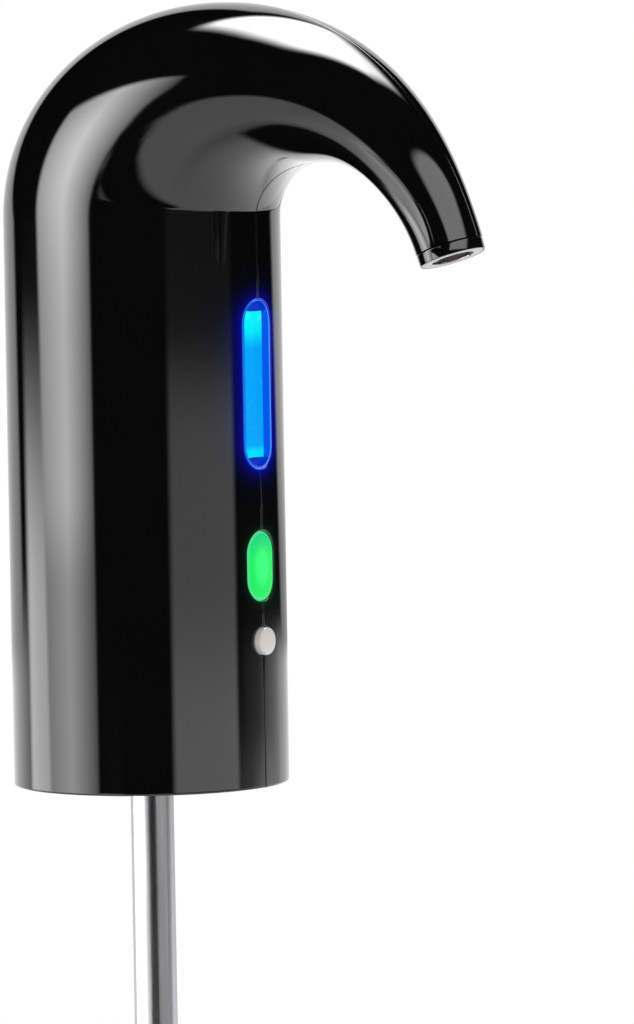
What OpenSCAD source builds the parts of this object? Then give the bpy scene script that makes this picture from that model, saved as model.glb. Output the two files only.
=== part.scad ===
// Electric wine aerator: a column with a gooseneck spout, a lit aeration window, two push buttons,
// a soft plug that goes into a neck, and a telescopic intake tube.
// Origin: on the column's axis, in the plane of its bottom rim. +Z is up, +X points to the spout.
// All sizes are in millimetres.

/* [Column] */
// Outside diameter of the upright column
column_d = 64; // [60:1:72]
// Height of the straight column, up to where the gooseneck starts
column_h = 131; // [128:1:145]
// Wall thickness of the two half shells
shell_wall = 2.4; // [2:0.1:3]
// Rounding of the bottom rim
rim_round = 1.2; // [0.6:0.1:2]
// Gap along the seam between the two half shells
seam_gap = 0.2; // [0.1:0.05:0.4]

/* [Gooseneck] */
// Distance of the crown from the column's axis
crown_reach = 23; // [18:1:28]
// Height of the crown above the column
crown_rise = 48.9; // [44:0.1:60]
// How far the crown's curve runs on level before it falls
crown_pull = 26.5; // [22:0.5:32]
// Distance of the inner arch's highest point from the column's axis
throat_reach = 49; // [46:0.5:54]
// Height of the inner arch above the column
throat_rise = 12; // [9:0.5:16]
// How far the inner arch runs on level before it falls
throat_pull = 8.5; // [6:0.5:14]
// Distance of the spout's seat from the column's axis
spout_reach = 84; // [80:1:92]
// How far the spout's seat lies below the top of the column
spout_drop = 7; // [3:0.5:12]
// Lean of the spout's axis from the vertical, outwards
spout_tilt = 18.5; // [12:0.5:24]
// Outside diameter of the gooseneck at the spout's seat
spout_d = 15.6; // [15:0.2:18]
// How straight the outer curve runs into the spout
nose_pull = 41; // [36:1:46]
// How straight the inner curve runs into the spout
chin_pull = 23.5; // [18:0.5:28]
// Wall thickness of the gooseneck at the spout
spout_wall = 2.2; // [1.8:0.1:2.6]

/* [Spout tip] */
// Length of the collar that shows below the gooseneck
tip_len = 2.8; // [2:0.1:5]
// Length of the spigot inside the gooseneck
tip_spigot = 8; // [6:0.5:10]
// Diameter of the outlet
outlet_d = 7.2; // [6:0.2:8]
// Thickness of the bright ring on the collar's end
ring_t = 0.6; // [0.4:0.1:1]
// Width of the dark edge left round the bright ring
ring_edge = 0.5; // [0.3:0.1:1]
// Width of the bright ring's face
ring_w = 2.4; // [1.6:0.2:3]

/* [Window] */
// Width of the window
window_w = 11.4; // [10:0.2:13]
// Height of the window
window_h = 39; // [36:0.5:42]
// Height of the window's centre above the rim
window_z = 92.6; // [90:0.2:96]
// Thickness of the lens
lens_t = 2; // [1.6:0.1:2.4]
// Width and depth of the lip that holds the lens behind the wall
lens_lip = 1.5; // [1:0.1:2]

/* [Aeration chamber] */
// Width of the chamber's flat front, behind the window
chamber_w = 6.6; // [5:0.2:8]
// Height of the chamber's flat front
chamber_h = 33.4; // [30:0.2:35]
// Diameter of the chamber's round back
chamber_d = 11; // [10:0.5:12]
// Bore of the chamber
chamber_bore = 6; // [5:0.5:7]
// Height of the fittings on the chamber's ends
fitting_h = 8; // [7.5:0.5:10]
// Wall of the fittings round the chamber
fitting_wall = 1.2; // [1:0.1:1.6]

/* [Buttons] */
// Width of the lit pour button
pour_w = 10.6; // [9:0.2:12]
// Height of the lit pour button
pour_h = 16.3; // [14:0.1:18]
// Height of the pour button's centre above the rim
pour_z = 51; // [50:0.5:54]
// Travel of the pour button
pour_travel = 1; // [0.5:0.1:1.2]
// Diameter of the power button
power_d = 6.8; // [6:0.2:7.6]
// Height of the power button's centre above the rim
power_z = 33.8; // [33.5:0.1:35]
// How far the power button stands proud of the column
power_proud = 1.6; // [1.2:0.1:2.4]
// Travel of the power button
power_travel = 0.8; // [0.5:0.1:1]
// Clearance round each button
button_gap = 0.2; // [0.15:0.05:0.3]
// Width of the lip that keeps a button behind the wall
button_lip = 1.2; // [0.8:0.1:1.4]

/* [Base and socket] */
// Inside diameter of the socket that a neck goes into
socket_d = 31.2; // [30.4:0.2:33]
// Depth of the socket from the rim
socket_depth = 25; // [23:0.5:26]
// Wall of the socket
socket_wall = 2; // [1.6:0.1:2.4]
// How far the base cover lies above the rim
cover_inset = 2.2; // [2:0.1:3]
// Thickness of the base cover
cover_t = 2.4; // [2:0.1:3]

/* [Neck plug] */
// Diameter of the plug's straight wall
plug_d = 18.5; // [18:0.1:20]
// Thickness of the lip seal at the top of the socket
lip_t = 2.5; // [2:0.1:3]
// How far the plug reaches below the rim
plug_drop = 2.5; // [2:0.1:4]
// Length of the plug's tapered end
plug_taper = 1.5; // [1:0.1:2]
// Length of the plug's straight wall, from its tapered end up
plug_grip = 15; // [12:0.5:16]

/* [Intake tube] */
// Outside diameter of the fixed upper stage
tube_d = 10; // [9.6:0.1:10.4]
// Wall of every stage
tube_wall = 0.45; // [0.4:0.05:0.5]
// Gap between one stage and the next
stage_gap = 0.55; // [0.5:0.05:0.6]
// How far each sliding stage stands out of the one above when pushed in
stage_step = 3; // [2:0.5:5]
// Travel of each sliding stage
stage_travel = 85; // [60:1:95]
// Length of the friction bush on each sliding stage
bush_len = 8; // [6:0.5:10]
// Length that stays inside between a bush and the guide lip when a stage is pulled right out
stage_keep = 3; // [2:0.5:5]
// Length of the guide lip at the lower end of a stage
lip_h = 3; // [2:0.5:4]
// Height of the intake foot
foot_h = 9; // [8:0.5:12]

/* [Air pump] */
// Diameter of the pump motor
motor_d = 20.4; // [19:0.2:21]
// Length of the pump motor
motor_len = 27; // [25:0.5:29]
// Diameter of the pump's frame and head
pump_d = 22; // [21.6:0.2:23]
// Height of the pump's frame
pump_frame_h = 14.6; // [14:0.2:17]
// Height of the pump's head
pump_head_h = 7.8; // [6:0.2:9]
// Diameter of the motor's shaft
shaft_d = 2; // [1.6:0.1:2.4]

/* [Battery] */
// Diameter of the cell
cell_d = 18.4; // [18:0.1:19]
// Length of the cell
cell_len = 65.2; // [60:0.2:70]

/* [Boards] */
// Thickness of the circuit boards
board_t = 1.6; // [1:0.1:1.8]
// Width of the main board
board_w = 24; // [22:0.5:26]
// Height of the charging socket's centre above the rim
charge_z = 15.6; // [14.5:0.1:17]
// Width of the charging socket
charge_w = 9; // [8.8:0.1:9.2]
// Height of the charging socket
charge_h = 3.2; // [3:0.1:3.4]

/* [Hoses] */
// Outside radius of the nipples on the wine path
nipple_r = 2.9; // [2.6:0.1:3.1]
// Wall of the wine hoses
hose_wall = 1.2; // [1:0.1:1.3]
// Outside radius of the nipples on the air path
air_nipple_r = 2; // [1.8:0.1:2.2]
// Wall of the air hoses
air_hose_wall = 0.9; // [0.7:0.1:1]

/* [Hidden] */
$fn = 96;

// Fits: a snug fit of fixed pieces, a running fit, and a plain clearance
snug = 0.1;
run_gap = 0.05;
clear = 0.3;
// Overlap that makes two volumes of one piece fuse, and the overshoot of a cut
fuse = 0.4;
over = 1;

// Column
column_r = column_d / 2;
bore_r = column_r - shell_wall;
cover_top = cover_inset + cover_t;

// Screws, shared by the base cover and the chassis
screw_r = 1.2;
screw_play = 0.2;
screw_free_r = screw_r + screw_play;
screw_head_r = 2.4;
screw_head_h = 1.4;
cross_len = 2.8;
cross_w = 0.6;
cross_depth = 0.7;
screw_len = 10;
boss_r = 3;
boss_room = 1;
boss_h = screw_len + boss_room;
boss_end = 1.5;
boss_inset = 5;
boss_angles = [45, 135];
leg_r = 3.4;
leg_inset = 3.7;
leg_reach = bore_r - leg_r - leg_inset;

// Socket, manifold and plug
socket_r = socket_d / 2;
ceiling_t = 2.5;
mouth_drop = 1.6;
mouth_round = 1;
inlet_r = 0.9;
inlet_inset = 6;
inlet_angles = [10, 18, 26];
ceiling_top = socket_depth + ceiling_t;
tube_r = tube_d / 2;
spigot_wall = 1.2;
spigot_r = tube_r + spigot_wall;
spigot_drop = 8;
air_duct_r = 0.8;
duct_land = 0.5;
air_duct_x = spigot_r + snug + air_duct_r + duct_land;
flange_r = 10.6;
flange_t = 3;
manifold_r = air_duct_x + air_duct_r + duct_land;
manifold_h = 6.5;
manifold_top = ceiling_top + flange_t + manifold_h;
riser_x = 4;
nipple_len = 7;
nipple_wall = 0.9;
nipple_bore = nipple_r - nipple_wall;
air_nipple_bore = air_nipple_r - nipple_wall;
air_nipple_rise = 1;
air_nipple_z = ceiling_top + flange_t + air_nipple_r + air_nipple_rise;

// Chassis
plate_room = 3;
plate_z = manifold_top + plate_room;
plate_t = 2.4;
plate_top = plate_z + plate_t;
cup_wall = 1.4;
cup_h = 12;
sleeve_t = 0.8;
pump_cup_r = max(motor_d / 2 + sleeve_t + snug, pump_d / 2 - cup_wall) + snug + cup_wall;
cell_cup_r = cell_d / 2 + clear + cup_wall;
wall_room = 0.6;
pump_angle = 125;
cell_angle = -118;
pump_reach = bore_r - pump_cup_r - wall_room;
cell_reach = bore_r - cell_cup_r - wall_room;
pump_at = [pump_reach * cos(pump_angle), pump_reach * sin(pump_angle)];
cell_at = [cell_reach * cos(cell_angle), cell_reach * sin(cell_angle)];
air_line_inset = 6.6;
air_line_x = air_line_inset - bore_r;

// Window, lens and chamber
lens_r = column_r - snug;
lens_in_r = lens_r - lens_t;
lens_rim = 0.8;
lip_r = bore_r - 2 * snug;
lip_in_r = lip_r - lens_lip;
fitting_r = chamber_d / 2 + snug + fitting_wall;
chamber_x = lip_in_r - clear - fitting_r;
chamber_gap = 0.5;
chamber_front = lens_in_r - chamber_gap;
chamber_low = window_z - chamber_h / 2;
chamber_top = window_z + chamber_h / 2;
chamber_end = 2;
elbow_drop = 5;
elbow_z = chamber_low - elbow_drop;
rib_t = 1.6;
lower_rib_z = chamber_low - fitting_h + clear;
upper_rib_z = window_z + window_h / 2 + lens_lip + wall_room;
outlet_short = 2;
outlet_top = chamber_top + fitting_h - outlet_short;

// Boards, switches and lamps
board_x = 11.4;
board_front = board_x + board_t;
board_below = 4.3;
board_above = 13;
board_low = power_z - board_below;
board_high = pour_z + board_above;
post_d = 3.4;
post_w = 4;
board_screw_drop = 4;
board_screw_z = board_high - board_screw_drop;
board_screw_r = 1;
board_head_r = 1.9;
board_head_h = 1.2;
board_screw_len = 4.6;
post_inset = 0.5;
post_short = 1;
board_screw_y = board_w / 2 - post_w / 2 - post_inset;
switch_w = 6;
switch_h = 3.5;
plunger_r = 1.7;
plunger_proud = 1.3;
plunger_sunk = 1;
plunger_top = board_front + switch_h + plunger_proud;
lamp_w = 2;
lamp_t = 0.8;
lamp_h = 1.4;
led_board_w = 8;
lamp_gap = 0.6;
led_board_front = chamber_x - chamber_d / 2 - lamp_t - lamp_gap;
led_board_gap = 1.8;
led_board_low = elbow_z + nipple_r + hose_wall + led_board_gap;
led_board_high = outlet_top;
peg_r = 0.8;
peg_y = 2.5;
peg_drop = 2;
cap_lip_t = 1.4;
pour_stem_r = 2.2;
power_stem_r = 1.6;

// Charging socket
charge_depth = 7.3;
charge_sunk = 1.4;
charge_mouth = column_r - charge_sunk;
charge_board_z = charge_z - charge_h / 2 - board_t;
charge_board_w = 16;
charge_board_inset = 2.5;
charge_board_gap = 1.6;
charge_board_out = charge_board_inset - bore_r;
charge_board_in = -socket_r - socket_wall - charge_board_gap;
ledge_y = 5;
ledge_w = 2;

// Pump
pump_z = plate_top;
motor_top = pump_z + motor_len;
frame_top = motor_top + pump_frame_h;
diaphragm_t = 1.2;
head_low = frame_top + diaphragm_t;
head_top = head_low + pump_head_h;
motor_boss_r = 3.1;
motor_boss_h = 1.6;
frame_wall = 1.6;
crank_rise = 3;
crank_z = motor_top + crank_rise;
crank_h = 4;
crank_r = 4.2;
crank_throw = 1.6;
crank_tilt = 10;
pin_r = 0.8;
pin_len = 4.4;
cup_r = 3.2;
cup_ring = 5.6;
rocker_t = 1.6;
rocker_drop = 4;
rocker_z = frame_top - rocker_drop;
stem_r = 1;
arm_wall = 0.8;
arm_r = stem_r + arm_wall;
arm_turns = [0, 120, 240];

// Check valve and hoses
valve_rise = 24;
valve_z = pump_z + valve_rise;
valve_r = 4.5;
valve_len = 12;
hose_r = nipple_r + snug + hose_wall;
air_hose_r = air_nipple_r + snug + air_hose_wall;
hose_sides = 10;
tip_hose_seat = 6;
flare_h = 1.6;
ring_r = spout_d / 2 - ring_edge - snug;
ring_in_r = ring_r - ring_w;

// Stages of the intake tube, each one step smaller than the one above
stage_pitch = tube_wall + stage_gap;
middle_r = tube_r - stage_pitch;
lower_r = middle_r - stage_pitch;
bush_drop = 1;
stage_hold = lip_h + stage_keep + stage_travel + bush_len + bush_drop;
upper_top = ceiling_top - snug;
stage_head = 5;
middle_top = upper_top - stage_head;
upper_low = middle_top - stage_hold;
middle_low = upper_low - stage_step;
lower_top = middle_low + stage_hold;
lower_low = middle_low - stage_step;

// Gooseneck: the outer and the inner line in the middle plane, and the round sections between them
neck_rings = 30;
neck_sides = 28;
neck_sink = 1;
neck_inset = 0.05;
line_steps = 40;
seat = [spout_reach, column_h - spout_drop];
spout_axis = [sin(spout_tilt), -cos(spout_tilt)];
spout_side = [cos(spout_tilt), sin(spout_tilt)];
spout_r = spout_d / 2;

function quarter(middle, reach, rise) =
    [for (i = [0:line_steps]) let (u = 90 * i / line_steps)
        [middle - reach * cos(u), column_h + rise * sin(u)]];
function curve(a, b, c, d, steps) =
    [for (i = [1:steps]) let (u = i / steps, v = 1 - u)
        v * v * v * a + 3 * v * v * u * b + 3 * v * u * u * c + u * u * u * d];
function falling(top, level, side, pull) =
    let (end = seat + side * spout_r * spout_side)
    curve(top, top + [level, 0], end - pull * spout_axis, end, line_steps);
function step_len(line, i) = i + 1 < len(line) ? norm(line[i + 1] - line[i]) : 0;
function marks(line) =
    [for (i = 0, s = 0; i < len(line); s = s + step_len(line, i), i = i + 1) s];
function along(line, share) =
    let (s = marks(line), at = share * s[len(s) - 1])
    [for (k = [0, 1]) lookup(at, [for (i = [0:len(line) - 1]) [s[i], line[i][k]]])];

crown = [crown_reach, column_h + crown_rise];
throat = [throat_reach, column_h + throat_rise];
outer_line = concat(quarter(crown_reach, crown_reach + column_r, crown_rise),
                    falling(crown, crown_pull, 1, nose_pull));
inner_line = concat(quarter(throat_reach, throat_reach - column_r, throat_rise),
                    falling(throat, throat_pull, -1, chin_pull));

// A section is [centre, unit vector to the outer line, radius, wall]
function section(share) =
    let (o = along(outer_line, share), n = along(inner_line, share), d = norm(o - n))
    [(o + n) / 2, (o - n) / d, d / 2, shell_wall + (spout_wall - shell_wall) * share];
// The first section, and a copy sunk into the column, lie just inside the column's wall
first = section(0);
root = [first[0], first[1], first[2] - neck_inset, first[3] - 2 * neck_inset];
sections = concat(
    [[root[0] - [0, neck_sink], root[1], root[2], root[3]], root],
    [for (i = [1:neck_rings]) section(i / neck_rings)]);
last_section = len(sections) - 1;

function half_arc(s, r) =
    [for (j = [0:neck_sides]) let (a = 180 * j / neck_sides)
        [s[0].x + r * cos(a) * s[1].x, max(r * sin(a), seam_gap / 2), s[0].y + r * cos(a) * s[1].y]];
function two(a, b, c, d) = [[a, b, c], [a, c, d]];
function joined(lists) = [for (l = lists) for (e = l) e];

// Pill-shaped prism along X, as wide as y and as tall as z say
module pill(w, h, z, from_x, to_x) {
    straight = abs(h - w);
    translate([from_x, 0, z]) rotate([90, 0, 90]) linear_extrude(to_x - from_x) union() {
        square(h > w ? [w, straight] : [straight, h], center = true);
        for (side = [-1, 1]) translate(h > w ? [0, side * straight / 2] : [side * straight / 2, 0])
            circle(d = min(w, h));
    }
}

// Rod along X
module rod(r, z, from_x, to_x, y = 0) {
    translate([from_x, y, z]) rotate([0, 90, 0]) cylinder(r = r, h = to_x - from_x);
}

// Rod along Z
module post(r, from_z, to_z) {
    translate([0, 0, from_z]) cylinder(r = r, h = to_z - from_z);
}

// Upright tube
module ring(r, inner, from_z, to_z) {
    difference() {
        post(r, from_z, to_z);
        post(inner, from_z - over, to_z + over);
    }
}

// Box given by its lowest and highest corners
module block(low, high) {
    translate(low) cube(high - low);
}

// Brings the spout's frame in: +Z runs out of the mouth, from the seat
module at_spout() {
    translate([seat.x, 0, seat.y]) rotate([0, 180 - spout_tilt, 0]) children();
}

// Right half of the gooseneck's wall, lofted through the sections
module neck_half() {
    row = neck_sides + 1;
    ring_points = 2 * row;
    function outer(i, j) = i * ring_points + j;
    function inner(i, j) = i * ring_points + row + j;
    points = joined([for (s = sections) concat(half_arc(s, s[2]), half_arc(s, s[2] - s[3]))]);
    walls = joined([for (i = [0:last_section - 1]) for (j = [0:neck_sides - 1]) concat(
        two(outer(i, j), outer(i, j + 1), outer(i + 1, j + 1), outer(i + 1, j)),
        two(inner(i, j), inner(i + 1, j), inner(i + 1, j + 1), inner(i, j + 1)))]);
    edges = joined([for (i = [0:last_section - 1]) concat(
        two(outer(i, 0), outer(i + 1, 0), inner(i + 1, 0), inner(i, 0)),
        two(inner(i, neck_sides), inner(i + 1, neck_sides),
            outer(i + 1, neck_sides), outer(i, neck_sides)))]);
    ends = joined([for (j = [0:neck_sides - 1]) concat(
        two(outer(0, j), inner(0, j), inner(0, j + 1), outer(0, j + 1)),
        two(outer(last_section, j), outer(last_section, j + 1),
            inner(last_section, j + 1), inner(last_section, j)))]);
    polyhedron(points, concat(walls, edges, ends), convexity = 8);
}

// Wall of the column with its rounded rim
module column_wall() {
    round_steps = 6;
    rotate_extrude(angle = 180) polygon(concat(
        [[bore_r, 0]],
        [for (i = [0:round_steps]) let (a = 90 * i / round_steps)
            [column_r - rim_round + rim_round * sin(a), rim_round - rim_round * cos(a)]],
        [[column_r, column_h], [bore_r, column_h]]));
}

// Boss for a base screw, with the rib that joins it to the wall
module shell_boss(angle) {
    reach = bore_r - boss_inset;
    rotate([0, 0, angle]) difference() {
        union() {
            translate([reach, 0, 0]) post(boss_r, cover_top, cover_top + boss_h);
            block([reach, -boss_r / 2, cover_top], [bore_r + fuse, boss_r / 2, cover_top + boss_h]);
        }
        translate([reach, 0, 0]) post(screw_r + run_gap, cover_top - over, cover_top + boss_h - boss_end);
    }
}

// Rib that clamps one fitting of the aeration chamber
module chamber_rib(z) {
    difference() {
        intersection() {
            block([chamber_x - chamber_d / 2, 0, z], [bore_r + fuse, bore_r, z + rib_t]);
            post(bore_r + fuse, z, z + rib_t);
        }
        translate([chamber_x, 0, 0]) post(fitting_r + snug, z - over, z + rib_t + over);
    }
}

// Right half of the column, with its openings, bosses and ribs
module column_half() {
    difference() {
        union() {
            column_wall();
            for (angle = boss_angles) shell_boss(angle);
            chamber_rib(lower_rib_z);
            chamber_rib(upper_rib_z);
        }
        block([-column_r - over, -over, -over], [column_r + over, seam_gap / 2, column_h + over]);
        pill(window_w, window_h, window_z, bore_r - over, column_r + over);
        pill(pour_w, pour_h, pour_z, bore_r - over, column_r + over);
        rod(power_d / 2, power_z, bore_r - over, column_r + over);
        pill(charge_w + 2 * button_gap, charge_h + 2 * button_gap, charge_z,
             -column_r - over, -bore_r + over);
    }
}

module half_shell() {
    column_half();
    neck_half();
}

module left_shell() {
    color([0.03, 0.03, 0.035]) mirror([0, 1, 0]) half_shell();
}

module right_shell() {
    color([0.03, 0.03, 0.035]) half_shell();
}

// Where the charging board rests
module charge_ledge(side) {
    block([charge_board_out, side * ledge_y - ledge_w / 2, cover_top - fuse],
          [charge_board_in - wall_room, side * ledge_y + ledge_w / 2, charge_board_z]);
}

module base_cover() {
    mouth = cover_inset - mouth_drop;
    sleeve_r = socket_r + socket_wall;
    edge_r = bore_r - clear;
    color([0.06, 0.06, 0.065]) difference() {
        union() {
            rotate_extrude() polygon([
                [socket_r + mouth_round, mouth], [sleeve_r, mouth], [sleeve_r, cover_inset],
                [edge_r, cover_inset], [edge_r, cover_top], [sleeve_r, cover_top], [sleeve_r, ceiling_top],
                [spigot_r + snug, ceiling_top], [spigot_r + snug, socket_depth], [socket_r, socket_depth],
                [socket_r, mouth + mouth_round]]);
            for (side = [-1, 1]) charge_ledge(side);
        }
        for (angle = boss_angles, side = [-1, 1]) rotate([0, 0, side * angle])
            translate([bore_r - boss_inset, 0, 0]) cover_hole(screw_free_r);
        for (side = [-1, 1]) translate([0, side * leg_reach, 0]) cover_hole(screw_free_r);
        // air inlets for the pump
        for (side = [-1, 1], angle = inlet_angles) rotate([0, 0, side * angle])
            translate([bore_r - inlet_inset, 0, 0]) cover_hole(inlet_r);
        translate([-air_duct_x, 0, 0]) post(air_duct_r + snug, socket_depth - over, ceiling_top + over);
    }
}

// Cut through the base cover's plate
module cover_hole(r) {
    post(r, cover_inset - over, cover_top + over);
}

// Pan-head screw driven upwards from the base cover
module base_screw() {
    post(screw_r, cover_inset, cover_inset + screw_len);
    difference() {
        post(screw_head_r, cover_inset - screw_head_h, cover_inset);
        for (turn = [0, 90]) rotate([0, 0, turn])
            block([-cross_len / 2, -cross_w / 2, cover_inset - screw_head_h - over],
                  [cross_len / 2, cross_w / 2, cover_inset - screw_head_h + cross_depth]);
    }
}

module base_screws() {
    color("silver") for (angle = boss_angles, side = [-1, 1])
        rotate([0, 0, side * angle]) translate([bore_r - boss_inset, 0, 0]) base_screw();
}

module chassis_screws() {
    color("silver") for (side = [-1, 1]) translate([0, side * leg_reach, 0]) base_screw();
}

// Plate on two legs, with cups for the pump and the cell and two posts for the main board
module chassis() {
    front = board_x - clear - wall_room;
    color([0.75, 0.75, 0.72]) difference() {
        union() {
            intersection() {
                post(bore_r - wall_room, plate_z, plate_top);
                block([-bore_r, -bore_r, plate_z], [front, bore_r, plate_top]);
            }
            for (side = [-1, 1]) translate([0, side * leg_reach, 0]) post(leg_r, cover_top, plate_z + fuse);
            translate(pump_at) ring(pump_cup_r, pump_cup_r - cup_wall, plate_top - fuse, plate_top + cup_h);
            translate(cell_at) ring(cell_cup_r, cell_cup_r - cup_wall, plate_top - fuse, plate_top + cup_h);
            for (side = [-1, 1]) block(
                [board_x - post_d, side * board_screw_y - post_w / 2, plate_z],
                [board_x, side * board_screw_y + post_w / 2, board_high - post_short]);
        }
        for (side = [-1, 1]) {
            translate([0, side * leg_reach, 0])
                post(screw_r + run_gap, cover_top - over, cover_top + boss_h);
            rod(board_screw_r + run_gap, board_screw_z, board_x - post_d - over, board_x + over,
                side * board_screw_y);
        }
        translate([riser_x, 0, 0]) post(hose_r + clear, plate_z - over, plate_top + over);
        translate([air_line_x, 0, 0]) post(air_hose_r + 2 * clear, plate_z - over, plate_top + over);
    }
}

module spout_tip() {
    color([0.03, 0.03, 0.035]) at_spout() difference() {
        union() {
            cylinder(r1 = spout_r, r2 = spout_r - 2 * snug, h = tip_len);
            post(spout_r - spout_wall - clear, -tip_spigot, fuse);
        }
        post(outlet_d / 2, -tip_spigot - over, tip_len + over);
        post(hose_r + snug, -tip_spigot - over, -tip_spigot + tip_hose_seat);
        post(spout_r - ring_edge, tip_len - ring_t, tip_len + over);
        flare();
    }
}

// Cone that opens the outlet to the bright ring's inner edge, and on past it at the same slope
module flare() {
    out = ring_in_r - outlet_d / 2;
    translate([0, 0, tip_len - ring_t - flare_h])
        cylinder(r1 = outlet_d / 2, r2 = outlet_d / 2 + out * (flare_h + over) / flare_h,
                 h = flare_h + over);
}

module spout_ring() {
    color("silver") at_spout() ring(ring_r, ring_in_r, tip_len - ring_t, tip_len);
}

// Pill of the window's shape, wider by the given amount all round
module window_pill(more, from_x) {
    pill(window_w + 2 * more, window_h + 2 * more, window_z, from_x, column_r + over);
}

// Lens that follows the wall, with a lip behind the wall and a neck between the two
module window_lens() {
    color([0.2, 0.55, 1, 0.5]) {
        intersection() {
            window_pill(-snug, chamber_x);
            ring(lens_r, lens_in_r, 0, column_h);
        }
        difference() {
            union() {
                intersection() {
                    window_pill(lens_lip, chamber_x);
                    ring(lip_r, lip_in_r, 0, column_h);
                }
                intersection() {
                    window_pill(-snug, chamber_x);
                    ring(lens_in_r + fuse, lip_r - fuse, 0, column_h);
                }
            }
            window_pill(-lens_rim, chamber_x - over);
        }
    }
}

// Clear block with a round back, a flat lit front behind the window and an upright bore
module aeration_chamber() {
    color([0.1, 0.6, 1, 0.6]) difference() {
        union() {
            translate([chamber_x, 0, 0])
                post(chamber_d / 2, chamber_low - chamber_end, chamber_top + chamber_end);
            block([chamber_x, -chamber_w / 2, chamber_low], [chamber_front, chamber_w / 2, chamber_top]);
        }
        translate([chamber_x, 0, 0])
            post(chamber_bore / 2, chamber_low - chamber_end - over, chamber_top + chamber_end + over);
    }
}

// Lower end of the chamber, with an elbow that takes the riser hose
module chamber_inlet() {
    low = chamber_low - fitting_h;
    color([0.85, 0.85, 0.85]) difference() {
        union() {
            translate([chamber_x, 0, 0]) post(fitting_r, low, chamber_low);
            rod(nipple_r, elbow_z, chamber_x - fitting_r - nipple_len, chamber_x);
        }
        translate([chamber_x, 0, 0]) {
            post(chamber_d / 2 + snug, chamber_low - chamber_end - snug, chamber_low + over);
            post(nipple_bore, elbow_z, chamber_low);
        }
        rod(nipple_bore, elbow_z, chamber_x - fitting_r - nipple_len - over, chamber_x);
    }
}

// Upper end of the chamber, with the outlet nipple and the pegs for the lamp board
module chamber_outlet() {
    peg_z = led_board_high - peg_drop;
    color([0.85, 0.85, 0.85]) difference() {
        union() {
            translate([chamber_x, 0, 0]) {
                post(fitting_r, chamber_top, outlet_top);
                post(nipple_r, outlet_top - fuse, outlet_top + nipple_len);
            }
            block([led_board_front, -led_board_w / 2, peg_z - peg_drop],
                  [chamber_x, led_board_w / 2, outlet_top]);
            for (side = [-1, 1])
                rod(peg_r, peg_z, led_board_front - board_t - clear, chamber_x - peg_r, side * peg_y);
        }
        translate([chamber_x, 0, 0]) {
            post(chamber_d / 2 + snug, chamber_top - over, chamber_top + chamber_end + snug);
            post(nipple_bore, chamber_top, outlet_top + nipple_len + over);
        }
    }
}

module led_board() {
    back = led_board_front - board_t;
    color([0.05, 0.3, 0.12]) difference() {
        block([back, -led_board_w / 2, led_board_low], [led_board_front, led_board_w / 2, led_board_high]);
        for (side = [-1, 1])
            rod(peg_r + run_gap, led_board_high - peg_drop, back - over, led_board_front + over,
                side * peg_y);
    }
}

// Flat lamp that sits on a board's front
module lamp(x, z) {
    block([x, -lamp_w / 2, z - lamp_h / 2], [x + lamp_t, lamp_w / 2, z + lamp_h / 2]);
}

module blue_leds() {
    end_room = 3;
    color([0.3, 0.5, 1]) for (z = [led_board_low + end_room, window_z, chamber_top - end_room])
        lamp(led_board_front, z);
}

module green_leds() {
    lamp_room = 1.2;
    color([0.3, 1, 0.5]) for (side = [-1, 1])
        lamp(board_front, pour_z + side * (switch_w / 2 + lamp_h / 2 + lamp_room));
}

module main_board() {
    color([0.05, 0.3, 0.12]) difference() {
        block([board_x, -board_w / 2, board_low], [board_front, board_w / 2, board_high]);
        for (side = [-1, 1])
            rod(board_screw_r + snug, board_screw_z, board_x - over, board_front + over,
                side * board_screw_y);
    }
}

module board_screws() {
    color("silver") for (side = [-1, 1]) {
        rod(board_screw_r, board_screw_z, board_front - board_screw_len, board_front, side * board_screw_y);
        rod(board_head_r, board_screw_z, board_front, board_front + board_head_h, side * board_screw_y);
    }
}

// Square tactile switch with a round well for its plunger
module tact_switch(z, travel) {
    face = board_front + switch_h;
    difference() {
        block([board_front, -switch_w / 2, z - switch_w / 2], [face, switch_w / 2, z + switch_w / 2]);
        rod(plunger_r + snug, z, face - plunger_sunk - travel - clear, face + over);
    }
}

module plunger(z) {
    rod(plunger_r, z, board_front + switch_h - plunger_sunk, plunger_top);
}

module pour_switch() {
    color([0.2, 0.2, 0.2]) tact_switch(pour_z, pour_travel);
}

module power_switch() {
    color([0.2, 0.2, 0.2]) tact_switch(power_z, power_travel);
}

module pour_plunger() {
    color([0.1, 0.1, 0.1]) plunger(pour_z);
}

module power_plunger() {
    color([0.1, 0.1, 0.1]) plunger(power_z);
}

// Lit cap that follows the column's wall, with a lip behind the wall and a stem to its switch
module pour_button() {
    lip_out = bore_r - clear;
    lip_in = lip_out - cap_lip_t;
    color([0.1, 0.9, 0.4]) {
        intersection() {
            pill(pour_w - 2 * button_gap, pour_h - 2 * button_gap, pour_z, board_front, column_r + over);
            ring(column_r, lip_in, 0, column_h);
        }
        intersection() {
            pill(pour_w + 2 * button_lip, pour_h + 2 * button_lip, pour_z, board_front, column_r + over);
            ring(lip_out, lip_in, 0, column_h);
        }
        rod(pour_stem_r, pour_z, plunger_top, lip_in + fuse);
    }
}

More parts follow.
